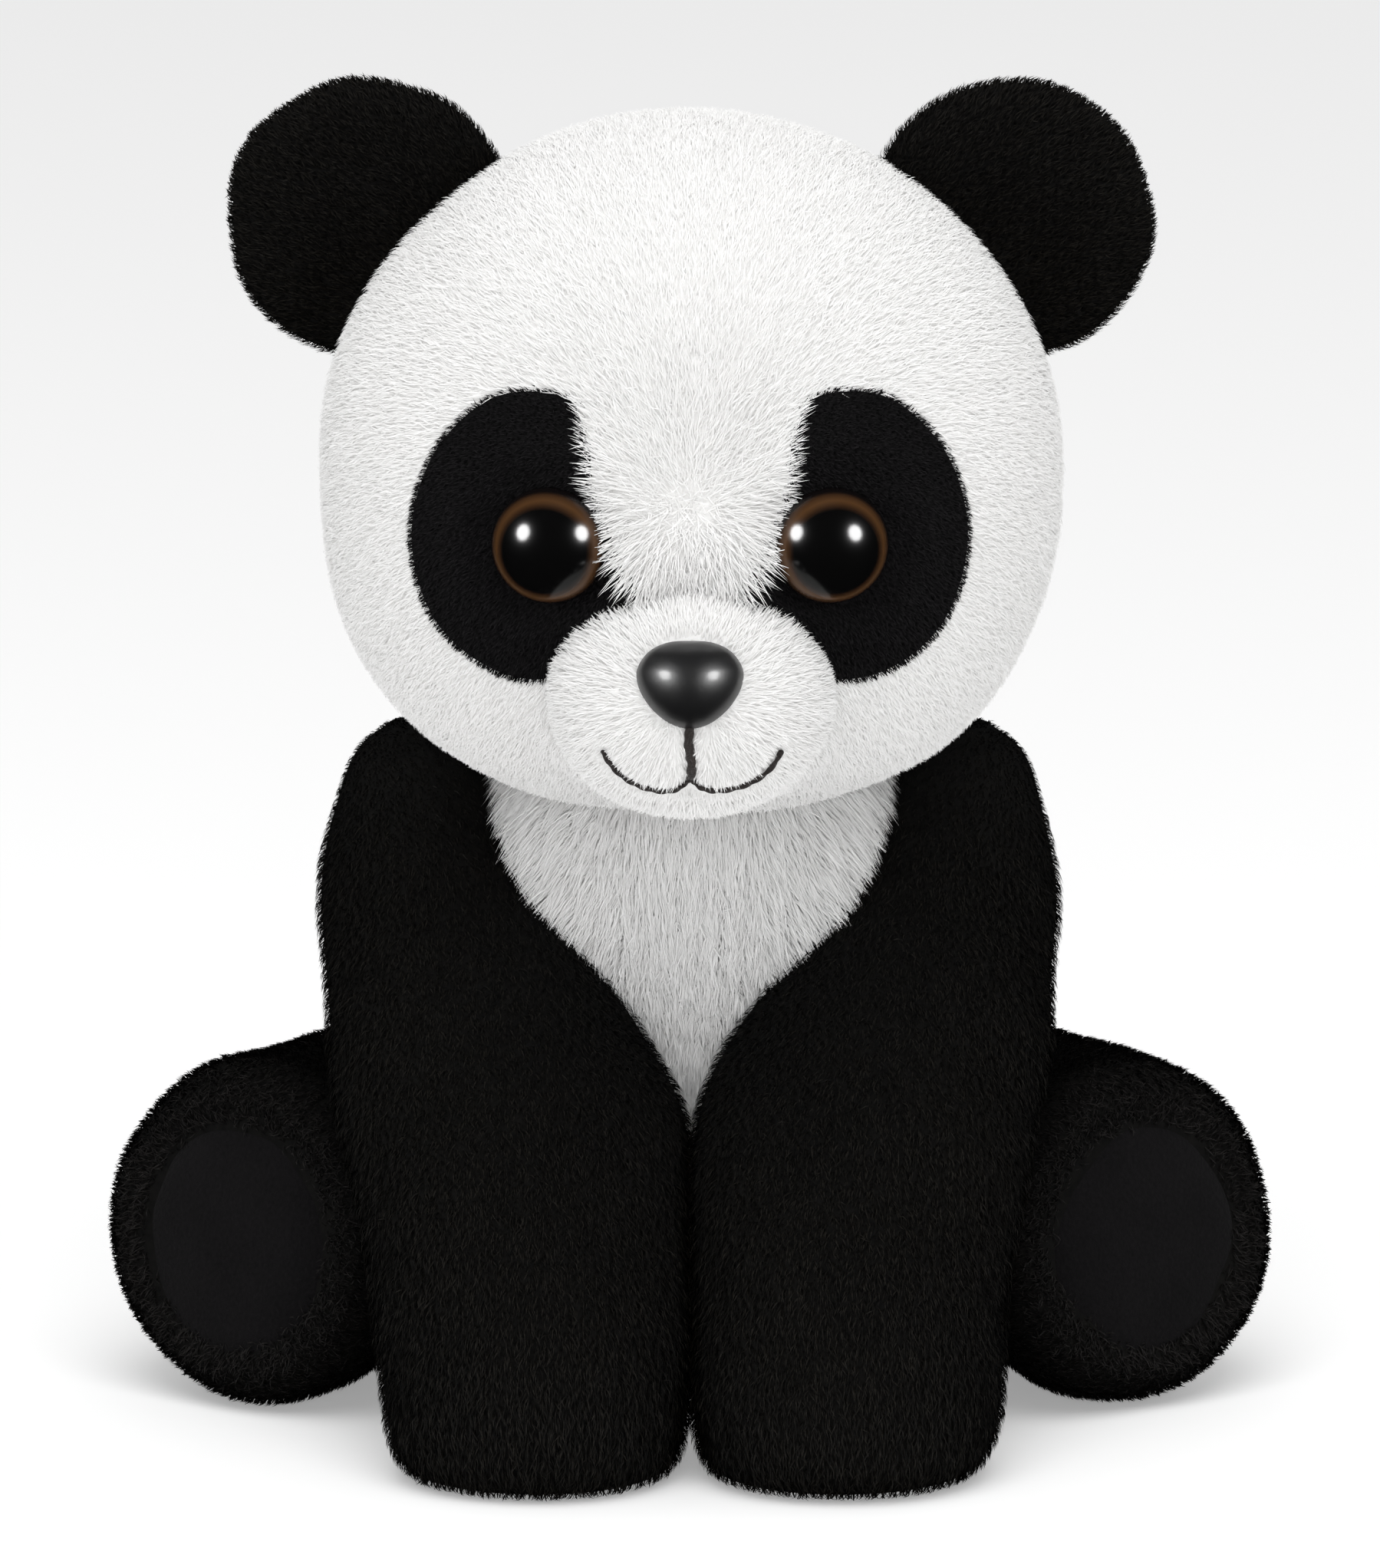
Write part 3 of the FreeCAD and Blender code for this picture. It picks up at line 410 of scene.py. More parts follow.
WHITE_CLOTH = cloth_material("white_plush_backing", (0.80, 0.795, 0.785), (0.90, 0.897, 0.89), 900.0)
BLACK_CLOTH = cloth_material("black_plush_backing", (0.0015, 0.0015, 0.0015), (0.005, 0.0046, 0.004), 900.0,
                             sheen=0.0)
PATCH_CLOTH = cloth_material("eye_patch_backing", (0.002, 0.002, 0.002), (0.007, 0.0065, 0.007), 1500.0,
                             sheen=0.0)
SOLE_CLOTH = cloth_material("sole_velour", (0.0020, 0.0017, 0.0020), (0.0048, 0.0041, 0.0047), 2200.0,
                            sheen=0.03, depth=0.4)
WHITE_PILE = strand_materials(
    "white_pile", [(0.86, 0.855, 0.845), (0.90, 0.896, 0.888), (0.93, 0.927, 0.92), (0.955, 0.953, 0.948)],
    0.8, 0.1)
BLACK_PILE = strand_materials(
    "black_pile", [(0.0016, 0.0014, 0.0011), (0.0032, 0.0028, 0.0022), (0.0058, 0.0051, 0.0040),
                   (0.0110, 0.0098, 0.0080)], 0.75, 0.0)
LEG_PILE = strand_materials(
    "leg_pile", [(0.0040, 0.0036, 0.0034), (0.0080, 0.0072, 0.0068), (0.0150, 0.0136, 0.0130)], 0.75, 0.0)
# Lighter than the white pile elsewhere: painted light that lifts the shade the head and the long strands
# cast on the chest.
BIB_PILE_PAINTED_LIGHT = strand_materials(
    "bib_pile_painted_light", [(0.93, 0.926, 0.915), (0.955, 0.952, 0.944), (0.975, 0.973, 0.968)], 0.8, 0.1)
PATCH_PILE = strand_materials(
    "patch_pile", [(0.002, 0.002, 0.002), (0.0045, 0.004, 0.0045), (0.009, 0.0082, 0.009)], 0.75, 0.0)
EYE = eye_material()
NOSE = moulded_material("nose_satin", (0.0055, 0.0055, 0.006), 0.4, 700.0)
THREAD = cloth_material("dark_thread", (0.012, 0.010, 0.010), (0.045, 0.038, 0.035), 5000.0, depth=0.5)
WHITE_THREAD = cloth_material("white_thread", (0.7, 0.69, 0.67), (0.88, 0.87, 0.85), 5000.0, depth=0.5)


# ---------------------------------------------------------------- how soft pieces and their pile are attached

def finish_soft(piece, body, slot, fill, *nodes):
    """Attaches a stuffed skin to its body and hides the CAD nodes it stands for; its slot and fill are not
    used.
    """
    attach(piece, body)
    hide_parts(*nodes)


def finish_pile(piece, body):
    """Attaches a pile of strands to its body."""
    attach(piece, body)


# ---------------------------------------------------------------- head

def head_spread(z, fullness=2.0):
    """How far the head reaches at height z, as a share of its half width or half depth."""
    v = (z - HEAD_CENTRE[2]) / HEAD_HALF[2]
    n = np.where(v < 0, fullness, 2.0)
    return np.maximum(1 - np.abs(v) ** n, 1e-9) ** (1 / n)


def head_front(x, z):
    """Points on the front of the head."""
    share = 1 - (x / HEAD_HALF[0] / head_spread(z, CHEEK_FULLNESS)) ** 2
    depth = HEAD_HALF[1] * head_spread(z) * np.sqrt(np.maximum(share, 1e-6))
    return np.stack([x, HEAD_CENTRE[1] - depth, z], -1)


def head_normals(points):
    """Outward normals of the head, close enough for small offsets."""
    return unit((points - HEAD_CENTRE) / HEAD_HALF**2)


def eye_site(side):
    """Where an eye's axis meets the head, before the face's relief."""
    return head_front(np.array(side * EYE_X), np.array(EYE_Z))


def on_front(points):
    """Which points are on the front half of the head."""
    return points[..., 1] < HEAD_CENTRE[1]


def face_relief(points):
    """How far the stuffing lifts the face: a ring round each eye, cheeks, bridge and muzzle rim."""
    rise = 0.3 * lumps(points, 24.0, 3)
    for side in (-1, 1):
        far = np.linalg.norm(points - eye_site(side), axis=-1)
        ring = 0.7 * np.exp(-(((far - 10.0) / 2.6) ** 2))
        socket = 0.6 * np.exp(-((far / 5.5) ** 2))
        cheek = 0.6 * bump_at(points, (side * 31.0, -28.0, 86.0), 8.0)
        rise += ring - socket
        rise += cheek
    bridge = 0.8 * bump_at(points, (0.0, -45.0, 107.0), 5.0)
    rise += bridge
    offset = (points - MUZZLE_CENTRE) / MUZZLE_HALF
    from_muzzle = np.hypot(offset[..., 0], offset[..., 2]) - 1.0
    low = 1 / (1 + np.exp((points[..., 2] - 86.0) / 2.0))
    rise += 2.0 * np.exp(-((from_muzzle / 0.16) ** 2)) * low * on_front(points)
    return rise


PATCH_CENTRE = np.array([20.0, 105.0])      # x and z
PATCH_OUTLINE = [  # x and z of the left patch's edge
    (13.2, 119.8), (10.7, 115.6), (9.8, 110.0), (7.7, 104.5), (5.0, 98.0), (9.5, 91.5), (16.0, 88.2),
    (21.5, 89.0), (26.8, 93.2), (29.5, 99.6), (29.6, 106.4), (26.8, 113.6), (20.8, 119.2)]
PATCH_PROUD = 0.22           # the patch's cloth above the head's
PATCH_TUCK = 0.4             # how far the patch's edge is turned in
patch_edge = through(PATCH_OUTLINE, 96, closed=True)


def in_patch(points, margin):
    """Which points on the head's front lie in an eye patch, grown by margin."""
    offset = np.stack([np.abs(points[:, 0]), points[:, 2]], -1) - PATCH_CENTRE
    edge = patch_edge - PATCH_CENTRE
    edge_angle = np.arctan2(edge[:, 1], edge[:, 0])
    order = np.argsort(edge_angle)
    reach = np.interp(np.arctan2(offset[:, 1], offset[:, 0]), edge_angle[order],
                      np.linalg.norm(edge, axis=1)[order], period=2 * math.pi)
    return (np.linalg.norm(offset, axis=1) < reach + margin) & on_front(points)


def near_eye(points, margin):
    """Which points lie within margin of an eye's rim."""
    hit = np.zeros(len(points), bool)
    for side in (-1, 1):
        hit |= np.linalg.norm(points - eye_site(side), axis=1) < EYE_RADIUS + margin
    return hit


def in_muzzle(points):
    """Which points lie inside the muzzle."""
    return (((points - MUZZLE_CENTRE) / MUZZLE_HALF) ** 2).sum(-1) < 1


def off_head(points, sunk):
    """Which points lie outside the head, taken smaller by sunk."""
    return (((points - HEAD_CENTRE) / (HEAD_HALF - sunk)) ** 2).sum(-1) > 1


FACE_DENSITY = 11.0          # strands to a square millimetre
BACK_DENSITY = 6.5
HEAD_SEAM_Y = HEAD_CENTRE[1] - 2             # the face's pile ends here and the back's begins
EYE_CORNER = np.array([7.8, -44.0, 102.0])   # where the bridge's pile reaches over an eye


def make_head():
    """The white head with its pile."""
    rise = np.radians(np.linspace(-86, 86, 110))
    z = HEAD_CENTRE[2] + HEAD_HALF[2] * np.sin(rise)
    turn = np.linspace(0, 2 * math.pi, 192, endpoint=False)
    x = HEAD_HALF[0] * head_spread(z, CHEEK_FULLNESS)[:, None] * np.cos(turn)
    y = HEAD_CENTRE[1] + HEAD_HALF[1] * head_spread(z)[:, None] * np.sin(turn)
    rings = np.stack([x, y, np.broadcast_to(z[:, None], x.shape)], -1)
    skin = Skin(rings, relief=face_relief)
    piece = skin.piece("head_plush", WHITE_CLOTH)
    finish_soft(piece, "head", "white_plush", 0.85, "forehead_gusset", "cheek_left", "cheek_right",
                "head_back_left", "head_back_right", "head_stuffing", "muzzle_stuffing")
    rng = np.random.default_rng(11)
    parts = [("brow", FACE_DENSITY, lambda p: (p[:, 1] < HEAD_SEAM_Y) & (p[:, 2] >= HEAD_CENTRE[2])),
             ("jaw", FACE_DENSITY, lambda p: (p[:, 1] < HEAD_SEAM_Y) & (p[:, 2] < HEAD_CENTRE[2])),
             ("back", BACK_DENSITY, lambda p: p[:, 1] >= HEAD_SEAM_Y)]
    for part, density, keep in parts:
        places, normals = skin.scatter(
            density, rng, lambda p: keep(p) & ~in_patch(p, -0.2) & ~in_muzzle(p) & ~near_eye(p, 0.3))
        flow = unit(places - BRIDGE) - [0, 0, 0.45] * (np.abs(places[:, :1]) / HEAD_HALF[0])
        if part == "back":
            flow = flow - [0, 0, 0.9]
        near_bridge = bump_at(places, BRIDGE + [0, 6, 0], 12.0)
        beside_eye = sum(bump_at(places, EYE_CORNER * [side, 1, 1], 3.6) for side in (-1, 1))
        length = 1.7 + 1.2 * near_bridge + 1.7 * beside_eye
        fur = pile(f"head_pile_{part}", places, normals, flow, rng, WHITE_PILE, length, 0.13,
                   lift=27 + 20 * beside_eye, clump=0.3, cell=1.2)
        finish_pile(fur, "head")


def make_patches():
    """Black eye patches of short pile, each its own piece of cloth on the head."""
    shares = np.linspace(0.03, 1.0, 26)[:, None, None]
    for side, mark in ((1, "left"), (-1, "right")):
        flat = PATCH_CENTRE + shares * (patch_edge - PATCH_CENTRE)
        surface = head_front(side * flat[..., 0], flat[..., 1])
        normals = head_normals(surface)
        surface = surface + normals * (face_relief(surface)[..., None] + PATCH_PROUD)
        surface[-1] -= normals[-1] * PATCH_TUCK
        skin = Skin(surface[:, ::side], high_pole=False)
        skin.face_towards((0.0, -1.0, 0.0))
        piece = skin.piece(f"eye_patch_plush_{mark}", PATCH_CLOTH)
        finish_soft(piece, "head", "eye_patch_plush", 0.8, f"eye_patch_{mark}")
        rng = np.random.default_rng(21 + side)
        places, at = skin.scatter(16.0, rng, lambda p: ~near_eye(p, -0.6) & ~in_muzzle(p))
        flow = unit(places - BRIDGE) - [0, 0, 0.5]
        fur = pile(f"eye_patch_pile_{mark}", places, at, flow, rng, PATCH_PILE, 0.95, 0.13, lift=40,
                   clump=0.3, cell=1.0, ruffle=0.5)
        finish_pile(fur, "head")


# ---------------------------------------------------------------- muzzle, nose, mouth and eyes

def muzzle_front(x, z):
    """Points on the front of the muzzle."""
    share = 1 - (x / MUZZLE_HALF[0]) ** 2 - ((z - MUZZLE_CENTRE[2]) / MUZZLE_HALF[2]) ** 2
    share = np.maximum(share, 1e-6)
    return np.stack([x, MUZZLE_CENTRE[1] - MUZZLE_HALF[1] * np.sqrt(share), z], -1)


def muzzle_normals(points):
    """Outward normals of the muzzle."""
    return unit((points - MUZZLE_CENTRE) / MUZZLE_HALF**2)


# x and z of the mouth's stitches
SMILE = [(-9.0, 83.6), (-7.7, 81.4), (-5.7, 79.8), (-3.1, 79.1), (-1.0, 79.5), (0.0, 80.1)]
PHILTRUM = [(0.1, 87.4), (-0.15, 85.0), (0.15, 82.4), (0.0, 79.6)]


def from_line(points, outline, count):
    """How far points are from a curve through an outline, seen from the front."""
    flat = points[:, [0, 2]]
    return np.sqrt(((flat[:, None] - through(outline, count)) ** 2).sum(-1)).min(1)


def mirrored(outline):
    """An outline turned over to the other side of the face."""
    return [(-a, b) for a, b in outline]


def muzzle_relief(points):
    """Two full lips with a furrow between them, and a fold along the smile."""
    x, z = points[:, 0], points[:, 2]
    low = 1 / (1 + np.exp((z - 87.5) / 1.2))
    furrow = -0.8 * np.exp(-((x / 0.9) ** 2)) * low * (z > 78)
    lips = sum(0.7 * bump_at(points, (side * 6.5, -50.0, 84.5), 4.5) for side in (-1, 1))
    fold = np.zeros(len(points))
    for line in (mirrored(SMILE), SMILE):
        fold = np.minimum(fold, -0.45 * np.exp(-((from_line(points, line, 40) / 0.8) ** 2)))
    return furrow + lips + fold * (points[:, 1] < MUZZLE_CENTRE[1]) + 0.2 * lumps(points, 11.0, 5)


def near_mouth(points, margin):
    """Which points on the muzzle lie within margin of the embroidery."""
    hit = np.zeros(len(points), bool)
    for line in (mirrored(SMILE), SMILE, PHILTRUM):
        hit |= from_line(points, line, 60) < margin
    return hit & (points[:, 1] < MUZZLE_CENTRE[1])


def make_muzzle():
    """The rounded white muzzle with its pile."""
    rise = np.radians(np.linspace(-88, 88, 80))
    turn = np.linspace(0, 2 * math.pi, 140, endpoint=False)
    ring = np.stack([np.cos(turn), np.sin(turn)], -1)
    depth = np.broadcast_to(MUZZLE_HALF[1] * np.sin(rise)[:, None], (len(rise), len(turn)))
    rings = np.stack([MUZZLE_HALF[0] * np.cos(rise)[:, None] * ring[:, 0], depth,
                      MUZZLE_HALF[2] * np.cos(rise)[:, None] * ring[:, 1]], -1)
    skin = Skin(MUZZLE_CENTRE + rings, relief=muzzle_relief)
    piece = skin.piece("muzzle_plush", WHITE_CLOTH)
    finish_soft(piece, "head", "white_plush", 0.85, "muzzle_panel", "chin_panel")
    rng = np.random.default_rng(31)

    def shown(p):
        nose = np.linalg.norm((p[:, [0, 2]] - [0, NOSE_Z]) / [5.0, 4.0], axis=1) < 1
        return off_head(p, 0.8) & ~near_mouth(p, 0.32) & ~(nose & (p[:, 1] < MUZZLE_CENTRE[1]))

    places, normals = skin.scatter(11.0, rng, shown)
    flow = unit(places - NOSE_TIP)
    length = 2.1 - 1.0 * near_mouth(places, 1.5)
    fur = pile("muzzle_pile", places, normals, flow, rng, WHITE_PILE, length, 0.14, lift=30, clump=0.35,
               cell=1.2, ruffle=0.3)
    finish_pile(fur, "head")


def local_frame(normal):
    """Across, up and outward directions where the face has a normal."""
    normal = unit(normal)
    across = unit(np.cross([0.0, 0.0, 1.0], -normal))
    return across, -np.cross(normal, across), normal


def make_eyes():
    """Domed safety eyes."""
    for side, mark in ((1, "left"), (-1, "right")):
        x, z = side * EYE_X, EYE_Z
        share = 1 - (x / HEAD_HALF[0]) ** 2 - ((z - HEAD_CENTRE[2]) / HEAD_HALF[2]) ** 2
        point = np.array([x, HEAD_CENTRE[1] - HEAD_HALF[1] * math.sqrt(share), z])
        across, up, out = local_frame(head_normals(point) + [0.0, -EYE_AIM, 0.0])
        point = point + out * EYE_PROUD
        ball = (EYE_RADIUS**2 + EYE_DOME**2) / (2 * EYE_DOME)
        edge = math.asin(EYE_RADIUS / ball)
        slope = np.linspace(edge, 0.03, 40)
        rim_radii = [EYE_RADIUS - 0.6, EYE_RADIUS - 0.05, EYE_RADIUS + 0.05]
        rim_heights = [-1.9, -1.6, -0.4]
        radii = np.concatenate([rim_radii, ball * np.sin(slope)])[:, None, None]
        heights = np.concatenate([rim_heights, ball * np.cos(slope) - ball + EYE_DOME])[:, None, None]
        turn = np.linspace(0, 2 * math.pi, 96, endpoint=False)[:, None]
        rings = point + radii * (np.cos(turn) * across + np.sin(turn) * up) + heights * out
        skin = Skin(rings)
        piece = skin.piece(f"eye_{mark}", EYE)
        offset = skin.points - point
        radius = np.linalg.norm(offset - (offset @ out)[:, None] * out, axis=1) / EYE_RADIUS
        layer = piece.data.attributes.new("eye_radius", "FLOAT", "POINT")
        layer.data.foreach_set("value", radius.astype(np.float32))
        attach(piece, "head")
        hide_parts(f"eye_dome_{mark}", f"eye_disc_{mark}", f"eye_pupil_{mark}")


NOSE_FULL = 4.3              # how far the nose's front stands out
NOSE_CURVE = 0.035           # how much the nose's sides fall back


def make_nose():
    """Moulded nose: a rounded triangle with a full front and a rolled edge."""
    half = [(0.0, 4.5), (2.4, 4.35), (4.4, 3.4), (5.6, 1.6), (5.5, -0.2), (4.7, -1.9), (3.5, -3.3),
            (1.9, -4.4)]
    edge = through(half + [(0.0, -4.8)] + mirrored(half[:0:-1]), 120, closed=True)
    point = muzzle_front(np.array(0.0), np.array(NOSE_Z))
    across, up, out = local_frame(muzzle_normals(point))
    share = np.concatenate([[0.80, 0.93, 0.985], np.cos(np.linspace(0, 1.5, 30))])
    height = np.concatenate([[-1.6, -1.0, -0.4], NOSE_FULL * np.sin(np.linspace(0, 1.5, 30)) ** 0.85])
    flat = share[:, None, None] * edge
    rings = point + flat[..., :1] * across + flat[..., 1:] * up + height[:, None, None] * out
    rings = rings - out * (NOSE_CURVE * (flat**2).sum(-1))[..., None]
    piece = Skin(rings).piece("nose_moulding", NOSE)
    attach(piece, "head")
    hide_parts("nose")


THREAD_RADIUS = 0.27
THREAD_TWIST = 0.55          # turn from one ring to the next, in radians


def thread_line(outline, count, lift):
    """Rings of a two-ply thread that follows an outline on the muzzle, lift above its skin."""
    line = through(outline, count)
    centre = muzzle_front(line[:, 0], line[:, 1])
    normals = muzzle_normals(centre)
    centre = centre + normals * (muzzle_relief(centre)[:, None] + lift)
    ahead = unit(np.gradient(centre, axis=0))
    side = unit(np.cross(ahead, normals))
    turn = np.linspace(0, 2 * math.pi, 16, endpoint=False)
    twist = np.arange(count)[:, None] * THREAD_TWIST
    swell = THREAD_RADIUS * (1 + 0.22 * np.cos(2 * turn[None, :] + twist))
    swell[[0, -1]] *= 0.4
    return (centre[:, None] + (swell * np.cos(turn))[..., None] * side[:, None]
            + (swell * np.sin(turn))[..., None] * normals[:, None])


def make_mouth():
    """Embroidered philtrum and smile, partly hidden by the pile."""
    stitches = [thread_line([(a + shift, b) for a, b in PHILTRUM], 60, 0.45) for shift in (-0.21, 0.21)]
    stitches += [thread_line([(a * stretch, b) for a, b in SMILE], 90, 0.5) for stretch in (1.0, -1.04)]
    points, faces, count = [], [], 0
    for rings in stitches:
        skin = Skin(rings)
        points.append(skin.points)
        faces += [f + count for f in skin.faces]
        count += len(skin.points)
    piece = make_piece("mouth_embroidery_thread", np.concatenate(points), faces, THREAD)
    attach(piece, "head")
    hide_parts("mouth_embroidery")


# ---------------------------------------------------------------- ears

EAR_CENTRE = np.array([34.6, (ear_low[1] + ear_high[1]) / 2, 132.2])
EAR_RADIUS = ear_high[0] - EAR_CENTRE[0]
EAR_HALF_THICK = 3.5
EAR_HOLLOW = 1.5             # how far the front's middle is pressed in


def make_ears():
    """Round ears with a slightly hollow front."""
    bend = np.radians(np.linspace(-88, 88, 48))[:, None]
    turn = np.linspace(0, 2 * math.pi, 120, endpoint=False)
    flat = (EAR_RADIUS - 0.5) * np.cos(bend) ** 0.75
    depth = EAR_HALF_THICK * np.sin(bend) + EAR_HOLLOW * bump_at(flat[..., None] / EAR_RADIUS, [0.0], 0.45)
    y = np.broadcast_to(EAR_CENTRE[1] + depth, (len(bend), len(turn)))
    for side, mark in ((1, "left"), (-1, "right")):
        rings = np.stack([side * EAR_CENTRE[0] + flat * np.cos(turn), y,
                          EAR_CENTRE[2] + flat * np.sin(turn)], -1)
        skin = Skin(rings, relief=lambda p: 0.3 * lumps(p, 9.0, 41 + side))
        piece = skin.piece(f"ear_plush_{mark}", BLACK_CLOTH)
        finish_soft(piece, f"ear_{mark}", "black_plush", 0.5, f"ear_front_{mark}", f"ear_back_{mark}")
        rng = np.random.default_rng(43 + side)
        places, normals = skin.scatter(14.0, rng, lambda p: off_head(p, 1))
        flow = unit(places - HEAD_CENTRE)
        fur = pile(f"ear_pile_{mark}", places, normals, flow, rng, BLACK_PILE, 1.3, 0.15, lift=40,
                   clump=0.4)
        finish_pile(fur, f"ear_{mark}")


# ---------------------------------------------------------------- torso, arms, legs and tail

TORSO = [  # height, centre y, half width, half depth
    (0.0, 14.0, 17.0, 17.0), (1.6, 14.0, 21.5, 21.0), (8.0, 14.0, 25.2, 24.4), (20.0, 14.0, 26.8, 25.6),
    (32.0, 13.0, 26.0, 24.8), (44.0, 10.5, 24.0, 23.2), (54.0, 7.0, 22.6, 21.0), (62.0, 4.0, 21.5, 18.4),
    (70.0, 0.5, 19.0, 15.0), (77.0, -1.5, 14.0, 11.0), (81.0, -2.0, 7.0, 6.0)]
ARM = [  # height, centre x, centre y, half width, half depth
    (0.0, 16.2, -34.4, 11.8, 9.4), (1.2, 16.4, -35.0, 14.4, 12.2), (5.0, 16.5, -35.6, 16.2, 14.0),
    (13.0, 16.7, -34.6, 17.0, 14.8), (24.0, 17.5, -29.6, 17.4, 14.0), (36.0, 19.4, -22.0, 18.6, 13.0),
    (47.0, 23.2, -12.2, 16.2, 13.0), (58.0, 26.4, -2.2, 13.4, 12.4), (67.0, 28.0, 1.6, 10.4, 9.4),
    (72.0, 29.2, 1.6, 7.4, 6.2), (75.0, 29.8, 1.8, 3.2, 2.6)]
LEG = [  # reach from the hip, half width, half height, lift
    (-12.0, 4.5, 4.5, 0.0), (-8.0, 10.0, 10.6, 0.4), (0.0, 13.0, 15.4, 1.8), (9.0, 13.8, 18.2, 2.2),
    (19.0, 16.4, 18.3, 0.7), (27.5, 18.6, 18.8, -0.7), (32.5, 18.2, 18.5, -1.0), (35.4, 16.4, 16.6, -1.2),
    (36.4, 14.6, 14.8, -1.2), (36.1, 13.2, 13.2, -1.2)]
ARM_GAP = 0.4                # between the paws, where they press together
HIP = np.array([30.2, 21.0, 16.0])
LEG_SPLAY, LEG_RISE = math.radians(33.0), math.radians(8.0)
LEG_FLOOR = 0.25             # how high the leg's skin lies above the floor
SOLE_RADIUS = 13.2
SOLE_NARROW = 0.94           # the sole's width as a share of its height
SOLE_DROP = 0.8              # the sole's centre below the leg's axis
BARE_EDGE = 1.3              # how far the leg's pile reaches over the sole's edge
YOKE_HEM_Z = 41.0
YOKE_FRONT_Y = 3.0
BIB_LOW, BIB_HIGH, BIB_HALF_WIDTH, BIB_BACK_Y = 36.0, 78.0, 20.0, 2.0
SEAT_BARE, NECK_BARE = 0.8, 76.0             # the torso has pile between these heights


def ellipse_rings(centres, half_a, half_b, axis_a, axis_b, columns=120):
    """Rings of points, each an ellipse round its centre."""
    turn = np.linspace(0, 2 * math.pi, columns, endpoint=False)[None, :, None]
    return (centres[:, None] + np.cos(turn) * half_a[:, None, None] * np.asarray(axis_a)
            + np.sin(turn) * half_b[:, None, None] * np.asarray(axis_b))


def torso_skin():
    """The body as one stuffed form, from its flat seat up into the neck."""
    z, y, half_x, half_y = through(TORSO, 110).T
    centres = np.stack([np.zeros_like(z), y, np.maximum(z, 0.0)], -1)
    rings = ellipse_rings(centres, half_x, half_y, (1, 0, 0), (0, 1, 0), 140)

    def relief(p):
        uneven = 0.5 * lumps(p, 22.0, 51) * np.clip(p[:, 2] / 6.0, 0, 1)
        full_chest = 3.6 * bump_at(p, (0.0, -15.0, 65.0), 11.0)
        return uneven + full_chest

    return Skin(rings, relief=relief)


def in_yoke(points):
    """The dark band over the back and sides of the shoulders."""
    edge = YOKE_HEM_Z + 1.5 * np.sin(points[:, 0] / 4.0)
    return (points[:, 2] > edge) & ((points[:, 1] > YOKE_FRONT_Y) | (np.abs(points[:, 0]) > 19.0))


def in_bib(points):
    """The chest between the arms, where the pile is long."""
    x, y, z = points.T
    return (y < BIB_BACK_Y) & (z > BIB_LOW) & (z < BIB_HIGH) & (np.abs(x) < BIB_HALF_WIDTH)


def has_pile(points):
    """The torso between its flat seat and its neck."""
    return (points[:, 2] > SEAT_BARE) & (points[:, 2] < NECK_BARE)


def make_torso():
    """White body, its long bib, and the dark yoke across the back of the shoulders."""
    skin = torso_skin()
    piece = skin.piece("body_plush", WHITE_CLOTH, BLACK_CLOTH)
    middles = np.empty(len(piece.data.polygons) * 3)
    piece.data.polygons.foreach_get("center", middles)
    dark = in_yoke(middles.reshape(-1, 3) / MM)
    piece.data.polygons.foreach_set("material_index", dark.astype(np.int32))
    finish_soft(piece, "torso", "white_plush", 0.8, "chest_and_belly_panel", "back_yoke_left",
                "back_yoke_right", "lower_back_left", "lower_back_right", "seat_panel", "torso_stuffing")
    rng = np.random.default_rng(53)
    flow = np.array([0.0, 0.15, -1.0])
    places, normals = skin.scatter(5.5, rng, lambda p: has_pile(p) & ~in_yoke(p) & ~in_bib(p))
    fur = pile("body_pile_white", places, normals, flow, rng, WHITE_PILE, 2.6, 0.18, lift=30, clump=0.5)
    finish_pile(fur, "torso")
    places, normals = skin.scatter(6.0, rng, lambda p: has_pile(p) & in_yoke(p))
    fur = pile("yoke_pile_black", places, normals, flow, rng, BLACK_PILE, 2.4, 0.17, lift=30, clump=0.5)
    finish_pile(fur, "torso")
    make_bib(skin, rng)


def make_bib(skin, rng):
    """Long pile on the chest that parts in the middle and stands out beside the arms."""
    places, normals = skin.scatter(14.0, rng, in_bib)
    x = places[:, 0]
    beside = np.clip((np.abs(x) - 6.0) / 8.0, 0.0, 1.0)
    flow = np.stack([np.sign(x) * 1.3 * beside, np.full(len(x), -0.25), np.full(len(x), -1.0)], -1)
    # The bib's strands are painted lighter than the rest of the white pile, against the shade under the
    # head.
    fur = pile("bib_pile_painted_light_long", places, normals, flow, rng, BIB_PILE_PAINTED_LIGHT, 3.6 + 2.0 * beside**2, 0.17,
               lift=32.0 + 20.0 * beside, clump=0.75, cell=2.1, ruffle=0.45, sag=0.1)
    finish_pile(fur, "torso")


def make_arms():
    """Black arms that stand on rounded paws."""
    z, x, y, half_x, half_y = through(ARM, 130).T
    for side, mark in ((1, "left"), (-1, "right")):
        centres = np.stack([side * x, y, np.maximum(z, 0.0)], -1)
        rings = ellipse_rings(centres, half_x, half_y, (1, 0, 0), (0, 1, 0))
        skin = Skin(rings, relief=lambda p: 0.55 * lumps(p, 20.0, 61 + side) * np.clip(p[:, 2] / 5.0, 0, 1))
        skin.points[:, 0] = side * np.maximum(side * skin.points[:, 0], ARM_GAP / 2)
        piece = skin.piece(f"arm_plush_{mark}", BLACK_CLOTH)
        finish_soft(piece, f"arm_{mark}", "black_plush", 0.8, f"arm_inner_{mark}", f"arm_outer_{mark}",
                    f"arm_stuffing_{mark}")
        rng = np.random.default_rng(63 + side)
        places, normals = skin.scatter(7.0, rng, lambda p: p[:, 2] > 0.5)
        flow = np.array([0.0, -0.55, -1.0])
        length = np.interp(places[:, 2], [60.0, 70.0], [1.7, 0.8])
        fur = pile(f"arm_pile_{mark}", places, normals, flow, rng, BLACK_PILE, length, 0.16, lift=34,
                   clump=0.4)
        finish_pile(fur, f"arm_{mark}")


